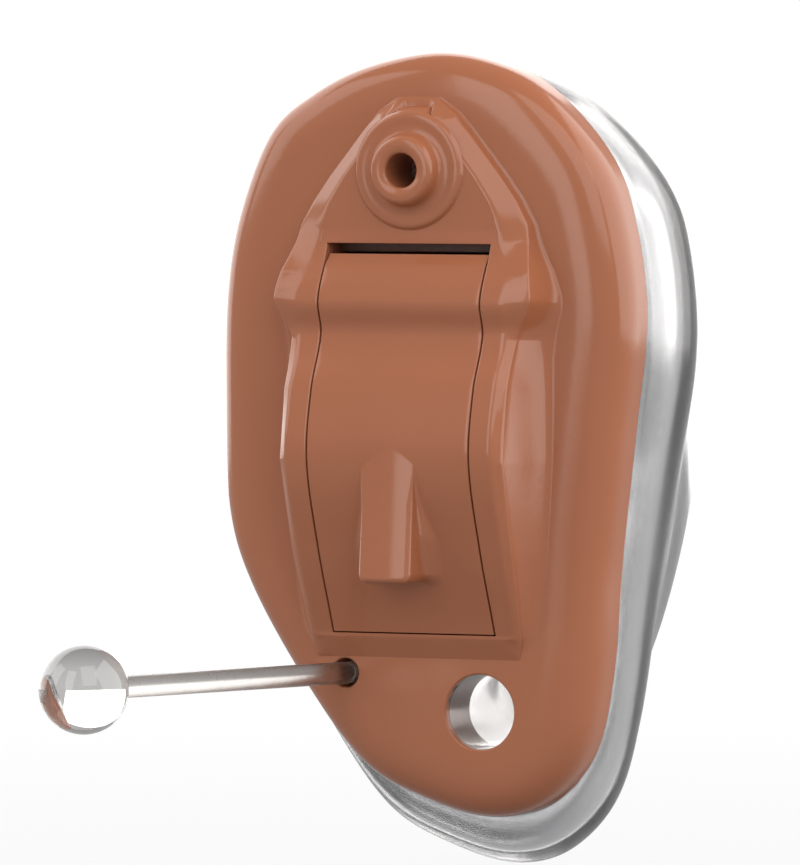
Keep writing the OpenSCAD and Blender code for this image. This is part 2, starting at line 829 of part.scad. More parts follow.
module receiver() {
    color([0.76, 0.76, 0.74])
        at_outlet(case_back)
            difference() {
                union() {
                    case_bar(receiver_w, receiver_h, receiver_len, receiver_round);
                    along_y([0, receiver_len, 0], spout_len, spout_d);
                }
                along_y([0, receiver_len, 0], spout_len + past, sound_bore_d);
            }
}

receiver_pad_row = [for (k = [-1, 1]) [k * receiver_w * 0.25, -pad_t, 0]];
module receiver_pads() {
    color([0.85, 0.72, 0.40])
        at_outlet(case_back)
            for (p = receiver_pad_row) {
                along_y(p, pad_t, pad_d);
            }
}

module receiver_boot() {
    color([0.88, 0.88, 0.86])
        at_outlet(case_front + boot_len * 1.1)
            difference() {
                case_bar(receiver_w + 2 * boot_wall, receiver_h + 2 * boot_wall, boot_len, receiver_round + boot_wall);
                translate([0, -past, 0])
                    case_bar(receiver_w, receiver_h, boot_len + 2 * past, receiver_round);
            }
}

module receiver_tube() {
    color([0.80, 0.80, 0.78, 0.7])
        at_outlet(case_front)
            difference() {
                along_y([0, 0, 0], case_front - tube_front + sleeve_len * 0.25, spout_d + 2 * tube_wall);
                along_y([0, -past, 0], spout_len + past, spout_d);
                along_y([0, 0, 0], case_front, sound_bore_d);
            }
}

module outlet_sleeve() {
    color([0.86, 0.86, 0.84])
        at_outlet(tube_front)
            difference() {
                along_y([0, 0, 0], sleeve_len, sleeve_d);
                along_y([0, -past, 0], sleeve_len * 0.25 + past, spout_d + 2 * tube_wall);
                along_y([0, 0, 0], sleeve_len + past, guard_d + 2 * guard_clear);
            }
}

guard_back = guard_len;
module wax_guard() {
    color([0.93, 0.93, 0.90])
        at_outlet(guard_back)
            difference() {
                union() {
                    along_y([0, 0, 0], guard_len, guard_d);
                    along_y([0, guard_len, 0], guard_rim_t, guard_rim_d);
                }
                along_y([0, membrane_t * 3, 0], guard_len + guard_rim_t, guard_bore_d);
                along_y([0, -past, 0], guard_len, sound_bore_d);
            }
}

module wax_guard_membrane() {
    color([0.70, 0.70, 0.72])
        at_outlet(guard_back - membrane_t * 3)
            along_y([0, 0, 0], membrane_t, guard_bore_d);
}

line_root = [-line_x, floor_y, -line_drop];
line_way = [-sin(line_lean), -cos(line_lean), 0];

module line_anchor() {
    color([0.90, 0.90, 0.88, 0.7])
        union() {
            along_y(line_root + [0, line_d * 0.5 + line_root_gap, 0], plate_t, line_d);
            translate([-line_x, bead_d * 0.5, -line_drop])
                intersection() {
                    sphere(d = bead_d);
                    translate([-bead_d, -bead_d * 0.5, -bead_d])
                        cube([bead_d * 2, bead_d, bead_d * 2]);
                }
        }
}

module removal_line() {
    color([0.88, 0.87, 0.86, 0.7])
        difference() {
            union() {
                bar(line_root, line_root + line_way * line_len, line_d);
                translate(line_root)
                    sphere(d = line_d);
            }
            translate(line_root + line_way * line_len)
                sphere(d = ball_d);
        }
}

module removal_ball() {
    color([0.90, 0.90, 0.89, 0.7])
        translate(line_root + line_way * line_len)
            sphere(d = ball_d, $fn = 96);
}

// Ring of a wire round the point p, square to the way w
wire_sides = 8;
function wire_ring(p, w) =
    let (n = w / norm(w), side = cross(n, [0.3, 0.2, 1]), e = side / norm(side), f = cross(n, e))
    [for (k = [0 : wire_sides - 1]) let (a = -360 * k / wire_sides) p + (e * cos(a) + f * sin(a)) * wire_d / 2];

// Wire on an arc from a point towards a bend and on to another point
module wire(a, b, c) {
    steps = 10;
    lofted([
        for (k = [0 : steps])
            let (t = k / steps)
            wire_ring(a * (1 - t) * (1 - t) + b * 2 * t * (1 - t) + c * t * t, (b - a) * (1 - t) + (c - b) * t)
    ]);
}

board_top = [-board_x, board_y + board_t / 2, -board_z + board_h / 2];
// Room left for the solder at a wire's end
solder = wire_d * 0.4;
module mic_wires() {
    colors = [[0.75, 0.20, 0.18], [0.20, 0.45, 0.25], [0.25, 0.30, 0.62]];
    for (k = [0 : 2]) {
        color(colors[k])
            wire(
                mic_pad_row[k] + [0, pad_t + solder, 0],
                [mic_pad_row[k][0] - board_x * 0.5, board_y * 0.75, mic_z * 0.8],
                board_top + [(k - 1) * board_w * 0.25, 0, solder]
            );
    }
}

module receiver_wires() {
    colors = [[0.80, 0.78, 0.30], [0.30, 0.55, 0.75]];
    for (k = [0, 1]) {
        foot = [-board_x + (k - 0.5) * chip_side * 0.7, chip_y + solder, -board_z - chip_side * 0.68];
        color(colors[k])
            wire(
                outlet + turned([receiver_pad_row[k][0], -case_back - pad_t - solder * 1.5, 0]),
                [foot[0], chip_y + chip_t * 1.6, foot[2] - wire_d * 2],
                foot
            );
    }
}

// Vector of the outlet's own axes, given in the part's axes
function turned(v) = [
    v[0] * cos(canal_lean) - v[1] * sin(canal_lean), v[0] * sin(canal_lean) + v[1] * cos(canal_lean), v[2]
];

module battery_wires() {
    colors = [[0.72, 0.18, 0.16], [0.13, 0.13, 0.14]];
    for (side = [0, 1]) {
        s = side * 2 - 1;
        tail = [s * (frame_w / 2 + leaf_t + wire_d * 0.7), leaf_root_y, -cell_drop];
        edge = [-board_x + s * (board_w / 2 + solder * 1.5), board_y + board_t / 2, -cell_drop * 4.4];
        color(colors[side])
            wire(tail, [s * frame_w * 0.75, board_y * 0.97, -cell_drop * 3.5], edge);
    }
}

shell();
faceplate();
battery_door();
hinge_pin();
battery_can();
battery_gasket();
battery_cap();
battery_frame();
contact_positive();
contact_negative();
mic_port_cap();
mic_screen();
mic_sleeve();
microphone();
mic_pads();
circuit_board();
amplifier_chip();
capacitors();
receiver();
receiver_pads();
receiver_boot();
receiver_tube();
outlet_sleeve();
wax_guard();
wax_guard_membrane();
vent_tube();
line_anchor();
removal_line();
removal_ball();
mic_wires();
receiver_wires();
battery_wires();
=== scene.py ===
"""Looks of a completely-in-canal hearing aid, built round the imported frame.

Sizes are in millimetres inside the classes and become metres when a skin is made a mesh.
X runs across the faceplate, Y into the ear canal and Z up. The origin is the middle of the shell's mouth.
"""

import logging
import math
from dataclasses import dataclass, field
from enum import Enum
from typing import Sequence, Union

import bmesh
import bpy
import numpy as np
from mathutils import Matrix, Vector


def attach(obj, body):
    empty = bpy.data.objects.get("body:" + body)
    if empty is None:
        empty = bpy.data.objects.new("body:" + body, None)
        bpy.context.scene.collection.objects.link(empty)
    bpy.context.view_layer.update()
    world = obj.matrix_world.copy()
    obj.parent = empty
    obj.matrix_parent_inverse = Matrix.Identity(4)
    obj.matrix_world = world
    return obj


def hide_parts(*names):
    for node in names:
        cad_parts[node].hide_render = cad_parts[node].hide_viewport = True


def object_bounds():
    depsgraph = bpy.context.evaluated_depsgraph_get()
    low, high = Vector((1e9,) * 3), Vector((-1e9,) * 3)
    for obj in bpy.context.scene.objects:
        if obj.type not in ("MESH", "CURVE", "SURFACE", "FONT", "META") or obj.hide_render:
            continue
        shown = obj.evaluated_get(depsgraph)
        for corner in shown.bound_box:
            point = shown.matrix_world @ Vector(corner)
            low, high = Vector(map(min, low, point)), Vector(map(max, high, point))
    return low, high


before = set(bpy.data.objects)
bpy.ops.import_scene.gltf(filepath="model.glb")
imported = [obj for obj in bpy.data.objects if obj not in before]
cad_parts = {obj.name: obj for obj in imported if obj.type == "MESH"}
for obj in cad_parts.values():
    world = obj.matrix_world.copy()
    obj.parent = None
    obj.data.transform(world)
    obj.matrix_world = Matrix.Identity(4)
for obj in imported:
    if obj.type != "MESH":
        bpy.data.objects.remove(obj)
CAD_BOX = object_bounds()

LOG = logging.getLogger("hearing_aid")
MM = 0.001
# Gap in millimetres round what sits in a bore
FIT = 0.002
# Metres from the aid's lowest point down to the floor
FLOOR_GAP = 0.00002
WHITE = (1.0, 1.0, 1.0)
Array = np.ndarray


class Body(Enum):
    """Bodies of the frame that pieces ride on."""

    AID = "aid"
    DOOR = "door"
    LINE = "pull_line"
    GUARD = "guard"


class Slot(Enum):
    """Material slots of the record."""

    CLEAR = "clear_acrylic"
    BROWN = "brown_acrylic"
    STEEL = "steel"
    NICKEL = "nickel_steel"
    SEAL = "seal_plastic"
    GOLD = "gold_spring"
    SCREEN = "screen_mesh"
    DARK_RUBBER = "dark_rubber"
    PALE_RUBBER = "pale_rubber"
    BOARD = "board_green"
    CHIP = "chip_black"
    CERAMIC = "capacitor_ceramic"
    WHITE = "white_plastic"
    TUBE = "clear_tube"
    NYLON = "clear_nylon"
    RED = "wire_red"
    BLUE = "wire_blue"
    BLACK = "wire_black"


# Skins: points and faces worked out as whole arrays


@dataclass
class Skin:
    """Points in millimetres and the faces of one or more closed surfaces.

    Each block of faces is an array with one face a row, all with the same number of corners.
    """

    points: Array
    faces: list

    def __add__(self, other: "Skin") -> "Skin":
        """Both skins in one."""
        shift = len(self.points)
        return Skin(np.vstack([self.points, other.points]), self.faces + [f + shift for f in other.faces])

    def volume(self) -> float:
        """Signed volume: the sum of the tetrahedra from the origin to each face's fan of triangles."""
        total = 0.0
        for block in self.faces:
            first = self.points[block[:, 0]]
            for k in range(1, block.shape[1] - 1):
                sides = np.cross(self.points[block[:, k]], self.points[block[:, k + 1]])
                total += float((first * sides).sum()) / 6
        return total

    def outward(self) -> "Skin":
        """The same skin with its faces looking outwards."""
        if self.volume() >= 0:
            return self
        return Skin(self.points, [block[:, ::-1] for block in self.faces])

    def turned(self, matrix: Array, shift: Sequence[float] = (0, 0, 0)) -> "Skin":
        """Each point times the matrix, then moved by the shift; a mirroring matrix turns the faces round."""
        mirrors = np.linalg.det(np.asarray(matrix, float)) < 0
        faces = [block[:, ::-1] for block in self.faces] if mirrors else self.faces
        return Skin(self.points @ np.asarray(matrix, float).T + np.asarray(shift, float), faces)

    def moved(self, x: float, y: float, z: float) -> "Skin":
        """The skin moved by x, y and z."""
        return self.turned(np.eye(3), (x, y, z))


def joined(parts: Sequence[Skin]) -> Skin:
    """Several skins in one."""
    whole = parts[0]
    for part in parts[1:]:
        whole = whole + part
    return whole


def skin(rows: Array, closed: bool = False) -> Skin:
    """Closed surface over a grid of points whose columns run round.

    Args:
        rows: points in an array (rows, columns, 3).
        closed: True where the last row joins the first; otherwise each end row is one flat face.

    Returns:
        The surface, looking outwards.
    """
    m, n = rows.shape[:2]
    i = np.arange(m if closed else m - 1)[:, None]
    j = np.arange(n)[None, :]
    below, right = (i + 1) % m, (j + 1) % n
    quads = np.stack([i * n + j, i * n + right, below * n + right, below * n + j], -1).reshape(-1, 4)
    faces = [quads]
    if not closed:
        faces += [np.arange(n)[None, ::-1], (m - 1) * n + np.arange(n)[None, :]]
    return Skin(rows.reshape(-1, 3), faces).outward()


def cubic(a: Array, b: Array, c: Array, d: Array, t: Array) -> Array:
    """Place t of the way from b to c, bent by their neighbours a and d."""
    return b + ((c - a) * t + (2 * a - 5 * b + 4 * c - d) * t**2 + (3 * (b - c) + d - a) * t**3) / 2


def closed_curve(points: Sequence[Sequence[float]], steps: int) -> Array:
    """Smooth closed curve through points: the cubic of each span's four neighbours."""
    p = np.asarray(points, float)
    u = np.arange(len(p) * steps) / steps
    i = np.floor(u).astype(int)
    t = (u - i)[:, None]
    a, b, c, d = (p[(i + k) % len(p)] for k in (-1, 0, 1, 2))
    return cubic(a, b, c, d, t)


def open_curve(points: Sequence[Sequence[float]], u: Array) -> Array:
    """The same cubic on an open list of rows, at the places u counted in rows."""
    p = np.asarray(points, float)
    last = len(p) - 1
    i = np.minimum(np.floor(u).astype(int), last - 1)
    t = (u - i)[:, None]
    a, b, c, d = p[np.maximum(i - 1, 0)], p[i], p[i + 1], p[np.minimum(i + 2, last)]
    return cubic(a, b, c, d, t)


def smooth_through(knots: Sequence[Sequence[float]], x: Array) -> Array:
    """Value at x of the cubic Hermite curve through knots, with the slopes of the neighbours' chords."""
    k = np.asarray(sorted(map(tuple, knots)), float)
    n = len(k) - 1
    before, after = np.maximum(np.arange(n + 1) - 1, 0), np.minimum(np.arange(n + 1) + 1, n)
    slope = (k[after, 1] - k[before, 1]) / (k[after, 0] - k[before, 0])
    i = np.clip(np.searchsorted(k[:, 0], x, side="right") - 1, 0, n - 1)
    s = k[i + 1, 0] - k[i, 0]
    t = np.clip((x - k[i, 0]) / s, 0, 1)
    rise = k[i, 1] * (1 - t) ** 2 * (1 + 2 * t) + k[i + 1, 1] * t**2 * (3 - 2 * t)
    return rise + s * (slope[i] * t * (1 - t) ** 2 - slope[i + 1] * t**2 * (1 - t))


def smoothstep(t: Array) -> Array:
    """t^2 (3 - 2t) with t held between 0 and 1."""
    t = np.clip(t, 0, 1)
    return t * t * (3 - 2 * t)


def spans(marks: Sequence[float], counts: Sequence[int]) -> Array:
    """Places along a line: equal steps between neighbouring marks, each mark once."""
    parts = [np.linspace(a, b, n)[1:] for a, b, n in zip(marks[:-1], marks[1:], counts)]
    return np.concatenate([[marks[0]], *parts])


def inset(loop: Array, d: float) -> Array:
    """Closed loop (n, 2) moved inwards by d along its own normals; it runs left from its top."""
    side = np.roll(loop, -1, 0) - np.roll(loop, 1, 0)
    side /= np.linalg.norm(side, axis=1, keepdims=True)
    return loop + d * np.stack([-side[:, 1], side[:, 0]], -1)


def rounded(corners: Sequence[Sequence[float]], steps: int = 6, closed: bool = False) -> Array:
    """Path through corners, each (across, along, radius), with its bends rounded.

    A bend is the quadratic curve from radius before the corner to radius after it.

    Args:
        corners: the corners in order.
        steps: points on each bend.
        closed: True where the last corner joins the first.

    Returns:
        The points (n, 2).
    """
    c = np.asarray(corners, float)
    p, r = c[:, :-1], c[:, -1]
    t = np.linspace(0, 1, steps)[:, None]
    made = []
    for k in range(len(p)):
        before, after = p[k - 1] - p[k], p[(k + 1) % len(p)] - p[k]
        if r[k] <= 0 or (not closed and k in (0, len(p) - 1)):
            made.append(p[k][None, :])
            continue
        a = p[k] + before / np.linalg.norm(before) * min(r[k], np.linalg.norm(before) / 2)
        b = p[k] + after / np.linalg.norm(after) * min(r[k], np.linalg.norm(after) / 2)
        made.append(a * (1 - t) ** 2 + p[k] * 2 * t * (1 - t) + b * t**2)
    return np.vstack(made)


def ring_angles(columns: int) -> Array:
    """Angles of equal columns round a circle."""
    return np.arange(columns) * 2 * np.pi / columns


def lathe(profile: Array, columns: int = 72, closed: bool = True) -> Skin:
    """Surface of a profile turned about the local Y axis: (r cos a, y, r sin a).

    Args:
        profile: points (radius, y).
        columns: columns round the axis.
        closed: True for a profile that is a loop; False for one that starts and ends on the axis.

    Returns:
        The turned surface.
    """
    a = ring_angles(columns)[None, :]
    r, y = profile[:, :1], profile[:, 1:]
    return skin(np.stack([r * np.cos(a), y + 0 * a, r * np.sin(a)], -1), closed)


def spun(corners: Sequence[Sequence[float]], columns: int, steps: int = 6, closed: bool = True) -> Skin:
    """Rounded corners, each (radius, y, rounding), turned about Y."""
    return lathe(rounded(corners, steps, closed), columns, closed)


def disc(radius: float, low: float, high: float, edge: float, columns: int, steps: int = 6) -> Skin:
    """Solid disc about Y from low to high, with both its edges rounded."""
    return spun([(0, low, 0), (radius, low, edge), (radius, high, edge), (0, high, 0)], columns, steps, False)


def sweep_frames(path: Array) -> tuple[Array, Array, Array]:
    """Directions along a path and two directions square to it.

    The first side leans on a fixed direction that no path here runs along, so the frame doesn't twist.
    """
    way = np.gradient(path, axis=0)
    way /= np.linalg.norm(way, axis=1, keepdims=True)
    side = np.cross(way, [0.3, 0.2, 1.0])
    side /= np.linalg.norm(side, axis=1, keepdims=True)
    return way, side, np.cross(way, side)


def pipe(path: Array, radius: Union[float, Array], columns: int = 16) -> Array:
    """Grid of points round a path: p + r (side cos a + up sin a)."""
    _, side, up = sweep_frames(path)
    a = ring_angles(columns)[None, :, None]
    r = np.broadcast_to(np.asarray(radius, float), len(path))[:, None, None]
    return path[:, None, :] + r * (side[:, None, :] * np.cos(a) + up[:, None, :] * np.sin(a))


def rod(path: Array, radius: float, columns: int = 16, nose: int = 5) -> Skin:
    """Round rod along a path with rounded ends: the radius follows a quarter circle over the last bit."""
    way, _, _ = sweep_frames(path)
    bend = np.linspace(0.12, 1, nose)
    head = path[0] - way[0] * (np.cos(bend * np.pi / 2) * radius)[:, None]
    tail = path[-1] + way[-1] * (np.cos(bend[::-1] * np.pi / 2) * radius)[:, None]
    sizes = np.sin(bend * np.pi / 2) * radius
    line = np.vstack([head[:-1], path, tail[1:]])
    r = np.concatenate([sizes[:-1], np.full(len(path), radius), sizes[::-1][1:]])
    return skin(pipe(line, r, columns))


def bezier(a: Sequence[float], b: Sequence[float], c: Sequence[float], count: int = 24) -> Array:
    """Quadratic curve a (1 - t)^2 + 2 b t (1 - t) + c t^2."""
    t = np.linspace(0, 1, count)[:, None]
    return np.asarray(a) * (1 - t) ** 2 + 2 * np.asarray(b) * t * (1 - t) + np.asarray(c) * t**2


def block(size: Sequence[float], middle: Sequence[float], edge: float, corner: float, steps: int = 4) -> Skin:
    """Box with rounded edges: a rounded rectangle carried through the box's height, set in at both ends.

    Args:
        size: the box's size along X, Y and Z.
        middle: its middle.
        edge: rounding of the edges of its two faces across Y.
        corner: rounding of its four edges along Y.
        steps: rings on each rounding.

    Returns:
        The box.
    """
    w, d, h = size
    bend = np.linspace(0, np.pi / 2, steps + 1)
    insets = edge * (1 - np.sin(bend))
    depths = edge * (1 - np.cos(bend))
    rows = np.concatenate([
        np.stack([insets, -d / 2 + depths], -1),
        np.stack([insets[::-1], d / 2 - depths[::-1]], -1),
    ])
    a = ring_angles(8 * steps)
    quarter = np.floor(a / (np.pi / 2) + 1e-9)
    centre_x = np.where((quarter == 0) | (quarter == 3), 1, -1) * (w / 2 - corner)
    centre_z = np.where(quarter < 2, 1, -1) * (h / 2 - corner)
    made = []
    for step, y in rows:
        r = max(corner - step, 0.15 * corner)
        squeeze = corner - step - r
        x = centre_x + np.sign(centre_x) * squeeze + r * np.cos(a)
        z = centre_z + np.sign(centre_z) * squeeze + r * np.sin(a)
        made.append(np.stack([x, np.full_like(a, y), z], -1))
    return skin(np.stack(made) + np.asarray(middle, float))


# Materials: node trees written as expressions


Plug = Union["Wire", float, int, Sequence[float]]


class Wire:
    """A shader socket that grows Math nodes when it is used in an expression."""

    def __init__(self, bench: "Bench", socket: bpy.types.NodeSocket) -> None:
        """Keeps the bench that owns the socket."""
        self.bench = bench
        self.socket = socket

    def _math(self, operation: str, a: Plug, b: Plug = 0.0) -> "Wire":
        """One Math node on a and b."""
        return self.bench.wire("ShaderNodeMath", {0: a, 1: b}, operation=operation)

    def __add__(self, other: Plug) -> "Wire":
        """self + other."""
        return self._math("ADD", self, other)

    def __mul__(self, other: Plug) -> "Wire":
        """self * other."""
        return self._math("MULTIPLY", self, other)

    def __sub__(self, other: Plug) -> "Wire":
        """self - other."""
        return self._math("SUBTRACT", self, other)

    def __rsub__(self, other: Plug) -> "Wire":
        """other - self."""
        return self._math("SUBTRACT", other, self)

    def __pow__(self, other: Plug) -> "Wire":
        """self to the power other."""
        return self._math("POWER", self, other)

    __radd__ = __add__
    __rmul__ = __mul__

    def over(self, level: float) -> "Wire":
        """1 where the value is over the level, else 0."""
        return self._math("GREATER_THAN", self, level)

    def most(self, other: Plug) -> "Wire":
        """The greater of self and other."""
        return self._math("MAXIMUM", self, other)

    def size(self) -> "Wire":
        """The value without its sign."""
        return self._math("ABSOLUTE", self)

    def fraction(self) -> "Wire":
        """What is left over the whole number below."""
        return self._math("FRACT", self)


class Bench:
    """Node tree of one material or world."""

    def __init__(self, tree: bpy.types.NodeTree) -> None:
        """Clears the tree."""
        tree.nodes.clear()
        self.tree = tree

    @classmethod
    def for_material(cls, name: str) -> tuple["Bench", bpy.types.Material]:
        """A new material and its bench."""
        material = bpy.data.materials.new(name)
        material.use_nodes = True
        return cls(material.node_tree), material

    def node(self, kind: str, values: dict, **settings: object) -> bpy.types.Node:
        """Adds one node.

        Args:
            kind: Blender's node type.
            values: value or wire of each input, by name or number.
            settings: attributes, set first; stops holds a ramp's (place, colour) pairs.

        Returns:
            The node.
        """
        made = self.tree.nodes.new(kind)
        stops = settings.pop("stops", ())
        for key, value in settings.items():
            setattr(made, key, value)
        if stops:
            elements = made.color_ramp.elements
            while len(elements) < len(stops):
                elements.new(0.5)
            for element, (place, colour) in zip(elements, stops):
                element.position = place
                element.color = (*colour, 1.0)
        for key, value in values.items():
            socket = made.inputs[key]
            if isinstance(value, Wire):
                self.tree.links.new(value.socket, socket)
            else:
                socket.default_value = value
        return made

    def wire(self, kind: str, values: dict, output: Union[str, int] = 0, **settings: object) -> Wire:
        """Adds one node, and gives one of its outputs."""
        return Wire(self, self.node(kind, values, **settings).outputs[output])

    def place(self) -> Wire:
        """The object's own coordinates, in millimetres."""
        here = self.wire("ShaderNodeTexCoord", {}, "Object")
        return self.wire("ShaderNodeVectorMath", {0: here, "Scale": 1 / MM}, operation="SCALE")

    def noise(self, place: Wire, scale: float, detail: float, stretch: Sequence[float] = (1, 1, 1)) -> Wire:
        """Noise of about 1 / scale millimetres, stretched along an axis by a share under 1."""
        spot = self.wire("ShaderNodeVectorMath", {0: place, 1: tuple(stretch)}, operation="MULTIPLY")
        return self.wire("ShaderNodeTexNoise", {"Vector": spot, "Scale": scale, "Detail": detail})

    def between(self, low: Plug, high: Plug, factor: Wire) -> Wire:
        """Mix of two colours."""
        values = {"Factor": factor, 6: self.colour(low), 7: self.colour(high)}
        return self.wire("ShaderNodeMix", values, 2, data_type="RGBA")

    @staticmethod
    def colour(value: Plug) -> Plug:
        """A colour with its alpha; wires stay as they are."""
        return value if isinstance(value, Wire) else (*value, 1.0)

    def bump(self, height: Wire, depth: float) -> Wire:
        """Normal bent by a height field of the depth given in millimetres."""
        return self.wire("ShaderNodeBump", {"Height": height, "Strength": 1.0, "Distance": depth * MM})

    def rays(self) -> tuple:
        """Three wires: 1 on a camera's, a glossy and a transmission ray, else 0."""
        path = self.node("ShaderNodeLightPath", {})
        kinds = ("Is Camera Ray", "Is Glossy Ray", "Is Transmission Ray")
        return tuple(Wire(self, path.outputs[kind]) for kind in kinds)

    def backdrop(self, colour: Plug, strength: float) -> Wire:
        """World light of one colour."""
        return self.wire("ShaderNodeBackground", {"Color": self.colour(colour), "Strength": strength})

    def blend(self, factor: Wire, first: Wire, second: Wire) -> Wire:
        """Mix of two surfaces; the second shows where the factor is 1."""
        return self.wire("ShaderNodeMixShader", {0: factor, 1: first, 2: second})

    def finish(self, values: dict) -> None:
        """Principled surface with these inputs, wired to the output."""
        surface = self.wire("ShaderNodeBsdfPrincipled", values)
        self.node("ShaderNodeOutputMaterial", {"Surface": surface})


def linear(screen: Sequence[float]) -> tuple:
    """Screen colour from 0 to 255, made linear."""
    parts = [c / 255 for c in screen]
    return tuple(v / 12.92 if v <= 0.04045 else ((v + 0.055) / 1.055) ** 2.4 for v in parts)


@dataclass(frozen=True)
class Finish:
    """One finish of the aid. Colours are screen values from 0 to 255 and lengths are millimetres."""

    name: str
    tone: tuple

    def inputs(self, bench: Bench, place: Wire) -> dict:
        """The surface's inputs by name; every kind of finish has its own."""
        raise NotImplementedError

    def material(self) -> bpy.types.Material:
        """Builds the finish."""
        bench, made = Bench.for_material(self.name)
        bench.finish(self.inputs(bench, bench.place()))
        return made


@dataclass(frozen=True)
class GlossPlastic(Finish):
    """Polished opaque plastic: two close tones in soft clouds, and a very fine grain."""

    second_tone: tuple
    roughness: float = 0.13
    cloud_scale: float = 0.35
    grain_depth: float = 0.0012

    def inputs(self, bench: Bench, place: Wire) -> dict:
        """Clouds for the tone, and the grain for the roughness and the normal."""
        clouds = bench.noise(place, self.cloud_scale, 4.0)
        fine = bench.noise(place, 9.0, 2.0)
        return {
            "Base Color": bench.between(linear(self.tone), linear(self.second_tone), clouds),
            "Roughness": self.roughness - 0.02 + 0.05 * fine,
            "IOR": 1.5,
            "Normal": bench.bump(fine, self.grain_depth),
        }


@dataclass(frozen=True)
class ClearPlastic(Finish):
    """Clear polished plastic with slow ripples and a faint haze; rim paints shade on it, darkening its tone
    at grazing sight towards the silhouettes.
    """

    roughness: float
    ior: float
    ripple: float
    ripple_scale: float
    haze: float
    # Share of the tone taken off as painted shade at grazing sight
    rim: float = 0.0

    def inputs(self, bench: Bench, place: Wire) -> dict:
        """Painted shade: the tone falls by the rim's share with the square of how far the surface turns away.
        """
        slow = bench.noise(place, self.ripple_scale, 2.0)
        fine = bench.noise(place, 14.0, 3.0)
        facing = bench.wire("ShaderNodeLayerWeight", {"Blend": 0.5}, "Facing")
        tone = linear(self.tone)
        painted_edge_tone = tuple(part * (1 - self.rim) for part in tone)
        return {
            "Base Color": bench.between(tone, painted_edge_tone, facing**2),
            "Roughness": self.roughness + self.haze * fine,
            "IOR": self.ior,
            "Transmission Weight": 1.0,
            "Normal": bench.bump(slow + 0.05 * fine, self.ripple),
        }


@dataclass(frozen=True)
class BrushedMetal(Finish):
    """Metal with fine lines along one axis and faint stains."""

    stain: tuple
    roughness: float
    grain: tuple
    grain_scale: float = 22.0
    grain_depth: float = 0.002

    def inputs(self, bench: Bench, place: Wire) -> dict:
        """Lines for the roughness and the normal, and stains for the tone."""
        lines = bench.noise(place, self.grain_scale, 3.0, self.grain)
        stains = bench.noise(place, 0.8, 4.0)
        return {
            "Base Color": bench.between(linear(self.tone), linear(self.stain), stains),
            "Metallic": 1.0,
            "Roughness": self.roughness - 0.08 + 0.2 * lines,
            "Normal": bench.bump(lines, self.grain_depth),
        }


@dataclass(frozen=True)
class MattePlastic(Finish):
    """Moulded plastic, rubber, epoxy or ceramic: a tone with specks and a fine moulded grain."""

    speck: tuple
    roughness: float
    grain_scale: float = 12.0
    grain_depth: float = 0.006
    speck_scale: float = 3.0
    sheen: float = 0.0

    def inputs(self, bench: Bench, place: Wire) -> dict:
        """Specks for the tone, and the grain for the roughness and the normal."""
        grain = bench.noise(place, self.grain_scale, 4.0)
        specks = bench.noise(place, self.speck_scale, 5.0)
        return {
            "Base Color": bench.between(linear(self.tone), linear(self.speck), (specks - 0.35) * 1.4),
            "Roughness": self.roughness - 0.08 + 0.16 * grain,
            "Sheen Weight": self.sheen,
            "Normal": bench.bump(grain, self.grain_depth),
        }


@dataclass(frozen=True)
class WovenScreen(Finish):
    """Fine woven wire screen: two crossing sets of round wires, dark between them."""

    gap: tuple
    pitch: float = 0.09

    def inputs(self, bench: Bench, place: Wire) -> dict:
        """Each set of wires is a wave across them; the higher of the two waves shows."""
        waves = []
        for turn in (math.pi / 4, -math.pi / 4):
            across = bench.wire(
                "ShaderNodeMapping", {"Vector": place, "Rotation": (0.0, turn, 0.0)}, vector_type="POINT"
            )
            waves.append(bench.wire(
                "ShaderNodeTexWave", {"Vector": across, "Scale": 0.314 / self.pitch, "Distortion": 0.0}, 1,
                wave_type="BANDS", bands_direction="X", wave_profile="SIN",
            ))
        wires = waves[0].most(waves[1])
        return {
            "Base Color": bench.between(linear(self.gap), linear(self.tone), wires),
            "Metallic": 0.8 * wires,
            "Roughness": 0.4,
            "Normal": bench.bump(wires, 0.02),
        }


@dataclass(frozen=True)
class CircuitFinish(Finish):
    """Green solder mask over copper tracks, with bare gold pads."""

    track: tuple
    pad: tuple
    pitch: float = 0.42

    def inputs(self, bench: Bench, place: Wire) -> dict:
        """Steps of a blocky pattern are tracks, and round dots on a loose grid are pads."""
        cells = bench.wire(
            "ShaderNodeTexVoronoi", {"Vector": place, "Scale": 1.1, "Randomness": 0.8}, "Distance",
            voronoi_dimensions="3D", distance="CHEBYCHEV", feature="F2",
        )
        track = (cells * 6.0).fraction().over(0.6)
        dots = bench.wire(
            "ShaderNodeTexVoronoi", {"Vector": place, "Scale": 1 / self.pitch, "Randomness": 0.35},
            "Distance", voronoi_dimensions="3D", feature="F1",
        )
        pad = 1.0 - dots.over(0.16)
        grain = bench.noise(place, 10.0, 3.0)
        mask = bench.between(linear(self.tone), linear(self.track), track * 0.55)
        return {
            "Base Color": bench.between(mask, linear(self.pad), pad),
            "Metallic": pad * 0.9,
            "Roughness": 0.38 - 0.1 * pad + 0.08 * grain,
            "Normal": bench.bump(track * 0.5 + 0.1 * grain, 0.01),
        }


